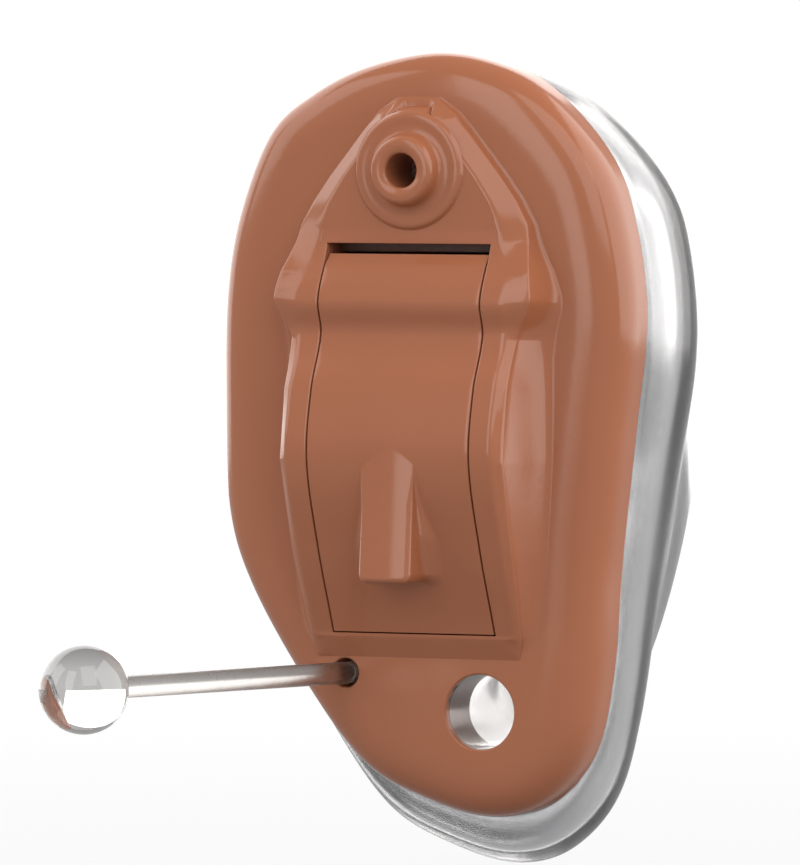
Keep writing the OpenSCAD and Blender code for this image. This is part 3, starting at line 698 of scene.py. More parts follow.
FINISHES = (
    GlossPlastic("brown_gloss", (155, 94, 64), (161, 99, 70)),
    # The last value of clear_shell and ball_nylon is rim: painted shade that darkens them towards their
    # silhouettes.
    ClearPlastic("clear_shell", (236, 236, 237), 0.15, 1.46, 0.012, 0.5, 0.06, 0.34),
    ClearPlastic("clear_tube", (250, 248, 246), 0.06, 1.4, 0.003, 1.0, 0.05),
    ClearPlastic("clear_nylon", (200, 197, 194), 0.22, 1.5, 0.006, 2.0, 0.16),
    ClearPlastic("ball_nylon", (243, 241, 238), 0.0, 1.6, 0.006, 2.0, 0.0, 0.3),
    ClearPlastic("melted_nylon", (150, 118, 100), 0.5, 1.5, 0.02, 3.0, 0.2),
    BrushedMetal("pin_steel", (190, 190, 194), (160, 160, 165), 0.25, (0.05, 1, 1)),
    BrushedMetal("can_nickel", (206, 203, 196), (182, 178, 168), 0.22, (1, 0.06, 0.06)),
    BrushedMetal("case_nickel", (200, 199, 194), (178, 176, 170), 0.3, (1, 0.05, 1)),
    BrushedMetal("spring_gold", (222, 188, 104), (198, 158, 84), 0.24, (1, 1, 0.06)),
    BrushedMetal("solder", (205, 206, 208), (176, 178, 182), 0.2, (1, 1, 1), 6.0),
    MattePlastic("seal_blue", (64, 92, 156), (48, 74, 136), 0.42),
    # Frame brown is the battery frame's own colour and also the painted shade of the slot ledge.
    MattePlastic("frame_brown_and_slot_shade", (112, 76, 60), (94, 62, 50), 0.45, 9.0, 0.008),
    MattePlastic("rubber_dark", (44, 44, 47), (60, 60, 63), 0.6, 16.0, 0.008, 4.0, 0.2),
    MattePlastic("rubber_pale", (214, 214, 210), (196, 196, 190), 0.5, 14.0, 0.006, 4.0, 0.2),
    MattePlastic("chip_epoxy", (34, 34, 37), (52, 52, 55), 0.42, 20.0, 0.006, 10.0),
    MattePlastic("ceramic_tan", (168, 140, 104), (148, 120, 86), 0.5, 18.0, 0.006, 12.0),
    MattePlastic("white_moulded", (236, 236, 230), (222, 221, 212), 0.35, 10.0, 0.004),
    MattePlastic("wire_red", (176, 52, 44), (146, 38, 34), 0.32, 8.0, 0.006, 6.0),
    MattePlastic("wire_green", (54, 122, 72), (40, 98, 58), 0.32, 8.0, 0.006, 6.0),
    MattePlastic("wire_blue", (66, 92, 168), (50, 72, 140), 0.32, 8.0, 0.006, 6.0),
    MattePlastic("wire_yellow", (206, 186, 88), (178, 156, 66), 0.32, 8.0, 0.006, 6.0),
    MattePlastic("wire_black", (40, 40, 43), (56, 56, 60), 0.34, 8.0, 0.006, 6.0),
    # The inlet screen's tone is raised above its own so that it shows lit at the bottom of its deep, shaded
    # bore: painted light.
    WovenScreen("inlet_screen_painted_lit", (188, 156, 138), (96, 78, 70)),
    WovenScreen("guard_membrane", (176, 178, 184), (110, 112, 120), 0.06),
    CircuitFinish("circuit_green", (28, 88, 56), (52, 128, 84), (216, 180, 96)),
)


# Pieces: skins made Blender meshes and put on their bodies


@dataclass
class Workshop:
    """Makes pieces from skins and puts them on the frame."""

    finishes: dict = field(default_factory=lambda: {f.name: f.material() for f in FINISHES})

    def raw(self, name: str, shape: Skin) -> bpy.types.Object:
        """Mesh object of a skin, in metres, with points that coincide merged."""
        mesh = bpy.data.meshes.new(name)
        faces = [tuple(f) for part in shape.faces for f in part.tolist()]
        mesh.from_pydata((shape.points * MM).tolist(), [], faces)
        grid = bmesh.new()
        grid.from_mesh(mesh)
        bmesh.ops.remove_doubles(grid, verts=grid.verts, dist=2e-8)
        grid.to_mesh(mesh)
        grid.free()
        made = bpy.data.objects.new(name, mesh)
        bpy.context.scene.collection.objects.link(made)
        return made

    def cut(self, target: bpy.types.Object, cutters: Sequence[Skin]) -> None:
        """Takes each cutter's volume out of the target's mesh."""
        for k, shape in enumerate(cutters):
            knife = self.raw(f"{target.name}_knife_{k}", shape)
            modifier = target.modifiers.new("cut", "BOOLEAN")
            modifier.operation = "DIFFERENCE"
            modifier.solver = "EXACT"
            modifier.object = knife
            graph = bpy.context.evaluated_depsgraph_get()
            cut_mesh = bpy.data.meshes.new_from_object(target.evaluated_get(graph))
            target.modifiers.clear()
            old = target.data
            target.data = cut_mesh
            bpy.data.meshes.remove(old)
            bpy.data.objects.remove(knife)

    def piece(
        self,
        name: str,
        shape: Skin,
        finish: str,
        slot: Slot,
        node: str = "",
        body: Body = Body.AID,
        crease: float = 38.0,
        cutters: Sequence[Skin] = (),
    ) -> None:
        """Builds one finished piece.

        Args:
            name: the piece's name.
            shape: its skin.
            finish: name of its finish.
            slot: the record's slot for its finish; not used.
            node: CAD node that it stands for, if any.
            body: the body that it rides on.
            crease: faces that meet at more than this angle, in degrees, keep a sharp edge.
            cutters: skins whose volumes are taken out of it.
        """
        made = self.raw(name, shape)
        self.cut(made, cutters)
        mesh = made.data
        mesh.polygons.foreach_set("use_smooth", np.ones(len(mesh.polygons), bool))
        mesh.set_sharp_from_angle(angle=math.radians(crease))
        mesh.materials.clear()
        mesh.materials.append(self.finishes[finish])
        mesh.update()
        if cutters:
            even = made.modifiers.new("even_shading", "WEIGHTED_NORMAL")
            even.keep_sharp = True
            even.weight = 80
        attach(made, body.value)
        if node:
            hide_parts(node)
        LOG.info("%s: %d faces on %s", name, len(mesh.polygons), body.value)

    def dress(self, node: str, finish: str) -> None:
        """Gives a CAD node that stays its finish."""
        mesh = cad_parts[node].data
        if not mesh.materials:
            mesh.materials.append(None)
        for k in range(len(mesh.materials)):
            mesh.materials[k] = self.finishes[finish]
        LOG.info("%s keeps its CAD shape", node)


# Sub-assemblies


# The plate's outline as shares of its half width and half height, running left from its top
OUTLINE_SHARES = (
    (0.02, 1.0), (-0.31, 0.965), (-0.57, 0.895), (-0.78, 0.79), (-0.93, 0.58),
    (-0.995, 0.37), (-1.005, 0.10), (-0.985, -0.20), (-0.87, -0.41), (-0.60, -0.67),
    (-0.32, -0.87), (-0.02, -0.96), (0.28, -1.0), (0.53, -0.96), (0.725, -0.83),
    (0.81, -0.62), (0.855, -0.305), (0.915, 0.01), (0.967, 0.32), (0.905, 0.58),
    (0.79, 0.74), (0.545, 0.895), (0.31, 0.97),
)


@dataclass
class Wave:
    """Height of the rails and of the door over the plate's floor, along Z."""

    knots: tuple = (
        (4.64, 0.50), (4.33, 0.54), (4.09, 0.62), (3.05, 1.08), (2.2875, 0.92), (1.0675, 1.411),
        (-0.54, 1.65), (-2.603, 1.04), (-4.45, 0.28), (-4.60, 0.25),
    )

    def height(self, z: Array) -> Array:
        """Height over the floor at z."""
        return smooth_through(self.knots, z)


@dataclass
class Plate:
    """Faceplate: rolled rim, flat floor and the raised surround round the door's opening.

    The front is one grid carried round the opening. Each column runs from the rim inwards over the
    floor, up the surround's flank, over its bevel and its top and down into the opening; each row is a
    closed loop. Half widths and heights of the surround are knots along Z, the same on both sides.
    """

    half_w: float = 5.2
    half_h: float = 8.65
    floor_y: float = -1.4
    rim: float = 0.30
    roll: float = 1.3
    roll_power: float = 2.6
    roll_square: float = 3.0
    open_half: float = 2.043
    open_top: float = 4.33
    open_low: float = -4.49
    edge: float = 0.014
    vent: tuple = (1.51, -6.23)
    vent_r: float = 0.85
    vent_seat: float = -1.2
    vent_seat_r: float = 1.01
    line: tuple = (-1.86, -5.42)
    line_r: float = 0.33
    mic_z: float = 5.98
    columns: tuple = (150, 240, 90)
    wave: Wave = field(default_factory=Wave)
    ridge_knots: tuple = (
        (7.50, 0.02), (7.49, 0.36), (7.10, 0.66), (5.85, 1.65), (5.30, 2.01), (4.76, 2.23), (4.40, 2.29),
        (4.04, 2.40), (3.68, 2.50), (3.30, 2.56), (-2.60, 2.56), (-4.50, 2.50), (-4.57, 2.44),
    )
    bevel_knots: tuple = (
        (7.62, 0.03), (7.60, 0.52), (7.25, 1.00), (5.85, 2.14), (5.30, 2.54), (4.76, 2.84), (4.40, 2.91),
        (4.04, 3.00), (3.68, 3.11), (3.30, 3.19), (3.05, 3.21), (2.75, 3.08), (2.45, 2.90), (2.20, 2.82),
        (1.60, 2.78), (-2.60, 2.77), (-4.50, 2.66), (-5.04, 2.52),
    )
    foot_knots: tuple = (
        (7.66, 0.03), (7.64, 0.55), (7.29, 1.04), (5.85, 2.19), (5.30, 2.59), (4.76, 2.90), (4.40, 3.00),
        (4.04, 3.16), (3.68, 3.36), (3.05, 3.58), (2.45, 3.44), (1.80, 3.34), (0.00, 3.34), (-2.60, 3.22),
        (-4.50, 2.95), (-5.20, 2.60),
    )
    pad_heights: tuple = ((4.64, 0.50), (7.18, 0.50), (7.28, 0.45), (7.37, 0.30), (7.50, 0.06))
    bevel_heights: tuple = (
        (-5.04, 0.0), (-4.45, 0.20), (-2.60, 0.90), (-0.54, 1.50), (1.0675, 1.26), (2.20, 0.80), (2.45, 0.82),
        (3.05, 0.95), (3.30, 0.92), (3.68, 0.80), (4.04, 0.58), (4.40, 0.36), (4.76, 0.26), (5.30, 0.22),
        (6.90, 0.22), (7.25, 0.14), (7.62, 0.02),
    )
    pad_from: float = 4.64
    wave_low: float = -4.6
    soft_from: float = 4.9
    soft_over: float = 0.6
    flank_power: float = 1.9
    bend: float = 0.05
    past: float = 1.0
    flare: float = 0.05
    mic_bore_r: float = 0.9
    mic_seat_r: float = 1.4
    mic_seat_y: float = -0.9
    ledge: tuple = (4.12, 0.90, 0.40)
    ledge_at: tuple = (0.0, -0.80, 4.32)

    def outline(self) -> Array:
        """The plate's outline (n, 2)."""
        return closed_curve(OUTLINE_SHARES, 24) * [self.half_w, self.half_h]

    def loop(self, curve: Array, top: float, low: float) -> Array:
        """A closed curve spread on the grid's columns.

        The columns over the top and under the bottom share the arc's length equally, and those at the
        sides share the height equally.
        """
        n_top, n_side, n_low = self.columns
        best = int(np.argmax(curve[:, 1]))
        c = np.roll(curve, -best, 0)
        lowest = int(np.argmin(c[:, 1]))
        left, right = c[: lowest + 1], np.vstack([c[lowest:], c[:1]])[::-1]
        z_side = top + (low - top) * np.arange(n_side) / n_side
        z_up = low + (top - low) * np.arange(n_side) / n_side

        def across(branch: Array, z: Array) -> Array:
            """X of a branch at z."""
            return np.interp(-z, -branch[:, 1], branch[:, 0])

        def arc(points: Array, count: int) -> Array:
            """Equal steps along points."""
            steps = np.concatenate([[0], np.cumsum(np.linalg.norm(np.diff(points, axis=0), axis=1))])
            s = steps[-1] * np.arange(count) / count
            return np.stack([np.interp(s, steps, points[:, k]) for k in (0, 1)], -1)

        def corner(branch: Array, z: float) -> Array:
            """The branch's point at z."""
            return np.array([[float(across(branch, np.array([z]))[0]), z]])

        over = [corner(right, top), right[right[:, 1] > top][::-1], left[left[:, 1] > top], corner(left, top)]
        below = [left[left[:, 1] < low], right[right[:, 1] < low][::-1]]
        under = [corner(left, low), *below, corner(right, low)]
        return np.vstack([
            arc(np.vstack(over), n_top),
            np.stack([across(left, z_side), z_side], -1),
            arc(np.vstack(under), n_low),
            np.stack([across(right, z_up), z_up], -1),
        ])

    def band(self, knots: Sequence[Sequence[float]]) -> Array:
        """One of the surround's closed lines on the grid's columns: its knots and their mirror image."""
        k = np.asarray(knots, float)
        z = np.concatenate([np.linspace(a, b, 12, endpoint=False) for a, b in zip(k[:-1, 0], k[1:, 0])])
        z = np.append(z, k[-1, 0])
        bent = np.interp(-z, -k[:, 0], k[:, 1])
        width = np.ones(9) / 9
        soft = np.convolve(np.pad(bent, 4, "edge"), width, "valid")
        share = smoothstep((self.soft_from - z) / self.soft_over)
        half = bent * (1 - share) + soft * share
        right = np.stack([half, z], -1)
        return self.loop(np.vstack([right * [-1, 1], right[::-1]]), self.open_top, self.open_low)

    def opening(self, out: float) -> Array:
        """Rectangle of the opening, made larger all round by out."""
        w, t, b = self.open_half + out, self.open_top + out, self.open_low - out
        n_top, n_side, n_low = self.columns

        def side(a: Sequence[float], c: Sequence[float], count: int) -> Array:
            """Equal steps from a towards c."""
            s = (np.arange(count) / count)[:, None]
            return np.asarray(a) * (1 - s) + np.asarray(c) * s

        return np.vstack([
            side((w, t), (-w, t), n_top), side((-w, t), (-w, b), n_side),
            side((-w, b), (w, b), n_low), side((w, b), (w, t), n_side),
        ])

    def roll_height(self, points: Array) -> Array:
        """Height of the rolled rim over the back: rim + (floor - rim) (1 - u^p)^(1/q).

        u is 1 at the outline and 0 from the roll's width inwards. The distance to the outline is the
        least over the outline's straight pieces.
        """
        a = self.outline()
        way = np.roll(a, -1, 0) - a
        t = ((points[:, None] - a) * way).sum(-1) / (way**2).sum(-1)
        near = a + np.clip(t, 0, 1)[..., None] * way
        d = np.sqrt(((points[:, None] - near) ** 2).sum(-1).min(1))
        u = np.clip(1 - d / self.roll, 0, 1)
        return self.rim + (-self.floor_y - self.rim) * (1 - u**self.roll_power) ** (1 / self.roll_square)

    def pad_height(self, z: Array) -> Array:
        """Height of the surround's top over the floor."""
        pad = np.asarray(self.pad_heights)
        rail = self.wave.height(np.clip(z, self.wave_low, self.pad_from))
        return np.where(z > self.pad_from, np.interp(z, pad[:, 0], pad[:, 1]), rail)

    def front(self) -> Array:
        """Rows of the whole plate from the opening's back edge over the back, the rim and the front."""
        rim_loop = self.loop(self.outline(), self.open_top, self.open_low)
        foot, bevel, ridge = (self.band(k) for k in (self.foot_knots, self.bevel_knots, self.ridge_knots))
        lip = self.opening(self.edge)

        def at(loop: Array, y: Union[float, Array]) -> Array:
            """A loop laid at the height y."""
            return np.stack([loop[:, 0], np.broadcast_to(y, len(loop)), loop[:, 1]], -1)

        rows = [at(self.opening(0) * (1 - s) + rim_loop * s, 0.0) for s in (0.0, 0.4, 0.8)]
        rows += [at(rim_loop, y) for y in (0.0, -self.rim * 0.5)]
        reach = np.linalg.norm(foot - rim_loop, axis=1)[:, None]
        way = (foot - rim_loop) / reach
        share = np.linspace(0, 0.985, 30)
        steps = self.roll * (1 - (1 - share**self.roll_square) ** (1 / self.roll_power))
        squeeze = np.minimum(1, 0.9 * reach / steps[-1])
        spots = [rim_loop + way * d * squeeze for d in steps]
        last = spots[-1]
        spots += [last * (1 - s) + foot * s for s in np.linspace(0, 1, 12)[1:]]
        rows += [at(spot, -self.roll_height(spot)) for spot in spots]

        low = -self.roll_height(foot)
        bevel_h = np.asarray(self.bevel_heights)
        b = at(bevel, self.floor_y - np.interp(bevel[:, 1], bevel_h[:, 0], bevel_h[:, 1]))
        r = at(ridge, self.floor_y - self.pad_height(ridge[:, 1]))
        lip_y = self.floor_y - self.pad_height(np.minimum(lip[:, 1], self.pad_from))
        e = at(lip, lip_y)
        wall_top = b.copy()
        wall_top[:, 1] += np.clip(0.6 * (low - b[:, 1]), 0, self.bend)
        for s in np.linspace(0, 1, 14)[1:]:
            rows.append(at(foot + (bevel - foot) * s, low + (wall_top[:, 1] - low) * s**self.flank_power))

        def toward(a: Array, c: Array, far: float) -> Array:
            """Points from a towards c by far, or by less than half the way."""
            step = c - a
            size = np.linalg.norm(step, axis=1, keepdims=True)
            return a + step / size * np.minimum(far, size * 0.45)

        rows += list(self.turn(wall_top, b, toward(b, r, self.bend), 5))
        start, end = toward(b, r, self.bend), toward(r, b, self.bend * 1.6)
        rows += [start * (1 - s) + end * s for s in np.linspace(0, 1, 7)[1:-1]]
        rows += list(self.turn(end, r, toward(r, e, self.bend * 1.6), 6))
        start = toward(r, e, self.bend * 1.6)
        for s in np.linspace(0, 1, 24)[1:] ** 1.5:
            spot = (start * (1 - s) + e * s)[:, [0, 2]]
            rows.append(at(spot, self.floor_y - self.pad_height(spot[:, 1])))
        for a in np.linspace(0, np.pi / 2, 4)[1:]:
            spot = self.opening(self.edge * (1 - np.sin(a)))
            rows.append(at(spot, lip_y + self.edge * (1 - np.cos(a))))
        rows.append(at(self.opening(0), self.floor_y * 0.5))
        return np.stack(rows)

    @staticmethod
    def turn(a: Array, b: Array, c: Array, count: int) -> Array:
        """Rows of the quadratic bend from a to c with its corner at b."""
        t = np.linspace(0, 1, count)[:, None, None]
        return a * (1 - t) ** 2 + 2 * b * t * (1 - t) + c * t**2

    def hole(self, x: float, z: float, r: float, front: float, back: float, flare: float) -> Skin:
        """Cutter for a round hole along Y whose mouth widens by a small rounding."""
        a = np.linspace(0, 1.35, 6)
        mouth = np.stack([r + flare * (1 - np.cos(a)), front + flare * (1 - np.sin(a))], -1)
        end = [[mouth[-1, 0], front - 2.0], [0.0, front - 2.0]]
        return lathe(np.vstack([[[0.0, back], [r, back]], mouth, end]), 96, False).moved(x, 0, z)

    def build(self, shop: Workshop) -> None:
        """Makes the plate."""
        floor, past = self.floor_y, self.past
        cutters = [
            self.hole(*self.vent, self.vent_r, floor, past, self.flare),
            disc(self.vent_seat_r, self.vent_seat, past, 0, 96).moved(self.vent[0], 0, self.vent[1]),
            self.hole(*self.line, self.line_r, floor, past, self.flare),
            self.hole(0.0, self.mic_z, self.mic_bore_r, floor - 0.5, -0.5, 0.01),
            disc(self.mic_seat_r, self.mic_seat_y, past, 0, 96).moved(0, 0, self.mic_z),
        ]
        shape = skin(self.front(), True)
        shop.piece("plate", shape, "brown_gloss", Slot.BROWN, "faceplate", crease=44.0, cutters=cutters)
        # The ledge at the back of the door's top slot takes the darker matte frame brown in place of the
        # plate's gloss brown: painted shade of the narrow slot.
        shop.piece("slot_ledge", block(self.ledge, self.ledge_at, 0.03, 0.05, 3), "frame_brown_and_slot_shade", Slot.BROWN)


@dataclass
class Door:
    """Battery door: wavy skin with the fingernail grip, the hinge barrel and the cradle ring."""

    floor_y: float = -1.4
    half_w: float = 2.002
    top: float = 4.09
    low: float = -4.458
    thick: float = 0.46
    side_round: float = 0.014
    hinge: tuple = (-1.93, 3.05)
    barrel_r: float = 0.522
    bore_r: float = 0.27
    cell: tuple = (0.45, -0.45)
    cradle_in: float = 2.93
    cradle_out: float = 3.2
    cradle_w: float = 3.0
    cradle_from: float = 50.0
    cradle_to: float = 250.0
    grip_x: float = -0.01
    grip_half: float = 0.66
    grip_ledge: float = -3.27
    grip_corner: float = 0.2
    grip_round: float = 0.13
    grip_crest: float = 0.06
    grip_arch: float = 0.058
    grip_line: tuple = (1.64, 0.083)
    grip_apex: float = -0.14
    grip_fall: float = 1.6
    fillet: tuple = (0.08, 0.38)
    lip_h: float = 0.11
    lip_len: float = 0.34
    x_marks: tuple = (-1.2, -0.7, -0.52, 0.5, 0.68, 1.18)
    x_counts: tuple = (9, 26, 24, 24, 24, 26, 10)
    z_marks: tuple = (-3.0, -3.3, -3.42)
    z_counts: tuple = (24, 150, 48, 14, 26)
    wave: Wave = field(default_factory=Wave)

    def grip_front(self, z: Array) -> Array:
        """Height of the grip's face over the floor: a straight line that rises slowly downwards.

        Over its apex it bends down into the door.
        """
        start, rise = self.grip_line
        return start - rise * z - self.grip_fall * np.maximum(z - self.grip_apex, 0)

    def face(self, x: Array, z: Array) -> Array:
        """Height of the door's face over the floor: the wave plus the grip.

        The grip stands over the wave by its line less the wave, slightly arched across. q is the distance
        from its plan, a rectangle with rounded lower corners. Inside, the edge is a quarter circle of radius
        rho; outside, a concave fillet of radius f runs out on the skin.
        """
        lip = self.lip_h * (1 - smoothstep((self.top - z) / self.lip_len)) ** 1.5
        base = self.wave.height(z) - lip
        e = self.grip_front(z) - self.wave.height(z)
        qx = np.abs(x - self.grip_x) - self.grip_half + self.grip_corner
        qz = self.grip_ledge + self.grip_corner - z
        beyond = np.hypot(np.maximum(qx, 0), np.maximum(qz, 0))
        q = beyond - self.grip_corner + np.minimum(np.maximum(qx, qz), 0)
        sideways = np.maximum(qx, 0) / np.maximum(beyond, 1e-6)
        room = np.maximum(e - self.grip_arch * ((x - self.grip_crest) / self.grip_half) ** 2, 0)
        rho = np.minimum(self.grip_round, 0.45 * room)
        f = np.minimum(self.fillet[0] + self.fillet[1] * sideways**2, room - rho) + 1e-5
        inside = room - rho + np.sqrt(np.maximum(rho**2 - np.maximum(rho + q, 0) ** 2, 0))
        outside = f - np.sqrt(np.maximum(f**2 - np.maximum(f - q, 0) ** 2, 0))
        return base + np.where(q < 0, inside, outside)

    def skin_rows(self) -> Array:
        """Rings of the skin down the door: its face, the rounded right edge, the back and the left edge."""
        r = self.side_round
        x = spans((r - self.half_w, *self.x_marks, self.half_w - r), self.x_counts).round(6)
        z = spans((self.top, self.top - 0.5, *self.z_marks, self.low), self.z_counts)
        gx, gz = np.meshgrid(x, z)
        face_y = self.floor_y - self.face(gx, gz)
        back_y = self.floor_y - self.wave.height(z) + self.thick
        bend = np.linspace(0, np.pi / 2, 5)[1:]
        rows = []
        edge_y = face_y[:, -1]
        for k, zk in enumerate(z):
            front = np.stack([x, face_y[k]], -1)
            right = np.stack([self.half_w - r + r * np.sin(bend), edge_y[k] + r * (1 - np.cos(bend))], -1)
            corner = np.array([[self.half_w, back_y[k] - r], [self.half_w - r, back_y[k]]])
            ring = np.vstack([front, right, corner, corner[::-1] * [-1, 1], right[::-1] * [-1, 1]])
            rows.append(np.stack([ring[:, 0], ring[:, 1], np.full(len(ring), zk)], -1))
        return np.stack(rows)

    def barrel(self) -> Skin:
        """Hinge barrel: a ring with rounded ends turned about the hinge and laid along X."""
        w = self.half_w
        ring = spun([
            (self.bore_r, -w, 0.03), (self.barrel_r, -w, 0.06), (self.barrel_r, w, 0.06),
            (self.bore_r, w, 0.03),
        ], 64, 5)
        return ring.turned([[0, 1, 0], [1, 0, 0], [0, 0, 1]], (0, *self.hinge))

    def cradle(self) -> Skin:
        """Cradle ring: a rounded strip carried on an arc about the cell, its ends drawn in a little."""
        count, edge, w = 90, 0.08, self.cradle_w / 2
        a = np.radians(np.linspace(self.cradle_from, self.cradle_to, count))
        mid, half = (self.cradle_in + self.cradle_out) / 2, (self.cradle_out - self.cradle_in) / 2
        section = rounded([(-half, -w, edge), (half, -w, edge), (half, w, edge), (-half, w, edge)], 5, True)
        ends = np.minimum(np.arange(count), np.arange(count)[::-1])
        draw = 1 - 0.6 * np.maximum(0, 1 - ends / 3.0) ** 2
        r = mid + section[None, :, 0] * draw[:, None]
        x = section[None, :, 1] * (1 - 0.04 * (1 - draw))[:, None]
        y = self.cell[0] + r * np.cos(a)[:, None]
        z = self.cell[1] + r * np.sin(a)[:, None]
        return skin(np.stack([x, y, z], -1))

    def build(self, shop: Workshop) -> None:
        """Makes the door."""
        shape = skin(self.skin_rows()) + self.barrel() + self.cradle()
        shop.piece("door", shape, "brown_gloss", Slot.BROWN, "battery_door", Body.DOOR, 50.0)


def solder_drops(radius: float, places: Sequence[Sequence[float]], matrix: Sequence[Sequence[float]]) -> Skin:
    """Drops of solder at the places: each is a quarter ellipse turned about Y over a short foot."""
    a = np.linspace(0, np.pi / 2, 9)
    profile = np.vstack([[[0.0, 0.0]], np.stack([radius * np.cos(a), 0.01 + 0.12 * np.sin(a)], -1)])
    drop = lathe(profile, 28, False)
    return joined([drop.turned(matrix, place) for place in places])


@dataclass
class MicPort:
    """Microphone port: the flanged cap with its screen, and the microphone in its sleeve behind."""

    z: float = 5.98
    pad_y: float = -1.9
    flange_r: float = 1.3
    flange_t: float = 0.12
    boss_r: float = 0.82
    boss_h: float = 0.4
    hole_r: float = 0.385
    stem_r: float = 0.9
    back_y: float = -0.9
    screen_r: float = 0.65
    screen_t: float = 0.1
    mic_r: float = 1.15
    mic_len: float = 2.5
    sleeve_t: float = 0.25
    sleeve_len: float = 1.5
    pad_step: float = 0.644

    def cap(self) -> Skin:
        """Cap turned from its profile: bore, domed boss, flange, stem and the screen's recess."""
        flange = self.pad_y - self.flange_t
        front = flange - self.boss_h
        seat = self.back_y - self.screen_t
        return spun([
            (self.hole_r, seat, 0), (self.hole_r, front + 0.05, 0.07), (0.55, front, 0.06),
            (self.boss_r - 0.06, front + 0.02, 0.2), (self.boss_r, flange - 0.02, 0.12),
            (self.boss_r + 0.16, flange + 0.02, 0.1), (self.flange_r - 0.03, flange, 0.16),
            (self.flange_r + 0.05, self.pad_y, 0), (self.stem_r, self.pad_y, 0),
            (self.stem_r, self.back_y, 0.02), (self.screen_r, self.back_y, 0), (self.screen_r, seat, 0),
        ], 120, 8)

    def build(self, shop: Workshop) -> None:
        """Makes the cap, the screen, the sleeve, the microphone and its pads."""
        shaft, r = self.back_y, self.mic_r
        seat, out, end = shaft - self.screen_t, r + self.sleeve_t, shaft + self.sleeve_len
        screen = disc(self.screen_r - FIT, seat, shaft, 0.02, 64)
        ring = spun([(r, shaft, 0.03), (out, shaft, 0.05), (out, end, 0.12), (r, end, 0.06)], 96, 5)
        back = shaft + self.mic_len
        can = spun([
            (0, shaft + 0.5, 0), (self.hole_r / 2, shaft + 0.5, 0), (self.hole_r / 2, shaft, 0.03),
            (r, shaft, 0.1), (r, back, 0.18), (r - 0.3, back, 0.05), (r - 0.34, back - 0.04, 0.03),
            (0, back - 0.04, 0),
        ], 96, 6, False)
        pads = solder_drops(0.2, [(k * self.pad_step, back - 0.045, 0) for k in (-1, 0, 1)], np.eye(3))
        for name, shape, finish, slot, node, crease in (
            ("port_cap", self.cap(), "brown_gloss", Slot.BROWN, "mic_port_cap", 50.0),
            ("port_screen", screen, "inlet_screen_painted_lit", Slot.SCREEN, "mic_screen", 38.0),
            ("mic_rubber", ring, "rubber_dark", Slot.DARK_RUBBER, "mic_sleeve", 38.0),
            ("mic_can", can, "case_nickel", Slot.NICKEL, "microphone", 38.0),
            ("mic_solder", pads, "solder", Slot.GOLD, "mic_pads", 38.0),
        ):
            shop.piece(name, shape.moved(0, 0, self.z), finish, slot, node, crease=crease)


# Each row of the shell: depth, middle and half width, middle and half height, roundness and lean,
# as shares of the whole
SHELL_SHARES = (
    (0, 0, 1, 0, 1, 0, 0), (0.06, 0.015, 1.03, -0.06, 1.032, 0, 0.035),
    (0.14, 0.01, 1.035, -0.099, 1.038, 0, 0.06), (0.23, -0.02, 0.97, -0.092, 0.985, 0.12, 0.07),
    (0.346, -0.1, 0.88, -0.085, 0.88, 0.4, 0.05), (0.5, -0.17, 0.785, -0.092, 0.745, 0.75, 0.01),
    (0.692, -0.265, 0.675, -0.075, 0.572, 0.9, 0), (0.877, -0.38, 0.57, -0.064, 0.468, 1, 0),
    (0.954, -0.42, 0.515, -0.058, 0.434, 1, 0), (0.988, -0.437, 0.455, -0.058, 0.393, 1, 0),
    (1, -0.44, 0.385, -0.058, 0.347, 1, 0),
)


@dataclass
class Shell:
    """Clear custom shell: a walled loft from the plate's outline to the leaning canal tip."""

    half_w: float = 5.2
    half_h: float = 8.65
    depth: float = 13.0
    wall: float = 0.6
    tip_wall: float = 1.2
    bond_gap: float = 0.01
    bore_gap: float = 0.005
    rows: int = 110
    column_steps: int = 12

    def ring(self, share: Array, wall: float, depth: float) -> Array:
        """One ring of the shell.

        The outline is blended with the unit circle, scaled to the section's half sizes, leaned by its
        height and set in by the wall.
        """
        q = closed_curve(OUTLINE_SHARES, self.column_steps)
        circle = q / np.linalg.norm(q, axis=1, keepdims=True)
        q = q * (1 - share[5]) + circle * share[5]
        z = (share[3] + share[4] * q[:, 1]) * self.half_h
        x = (share[1] + share[2] * q[:, 0]) * self.half_w + share[6] * z
        loop = np.stack([x, z], -1)
        if wall > 0:
            loop = inset(loop, wall)
        y = np.full(len(loop), max(share[0] * depth, self.bond_gap))
        return np.stack([loop[:, 0], y, loop[:, 1]], -1)

    def build(self, shop: Workshop, outlet: "Outlet", vent: "Vent") -> None:
        """Makes the shell, bored for the outlet sleeve and the vent."""
        u = np.linspace(0, len(SHELL_SHARES) - 1, self.rows)
        shares = open_curve(SHELL_SHARES, u)
        inner = [self.ring(s, self.wall, self.depth - self.tip_wall) for s in shares[::-1]]
        outer = [self.ring(s, 0.0, self.depth) for s in shares]
        sleeve_hole = outlet.place(disc(outlet.sleeve_r + self.bore_gap, -4.0, 1.0, 0, 96), 0.0)
        shop.piece(
            "shell_clear", skin(np.stack(inner + outer)), "clear_shell", Slot.CLEAR, "shell", crease=50.0,
            cutters=[sleeve_hole, vent.core(vent.wall_r + self.bore_gap, 8)],
        )


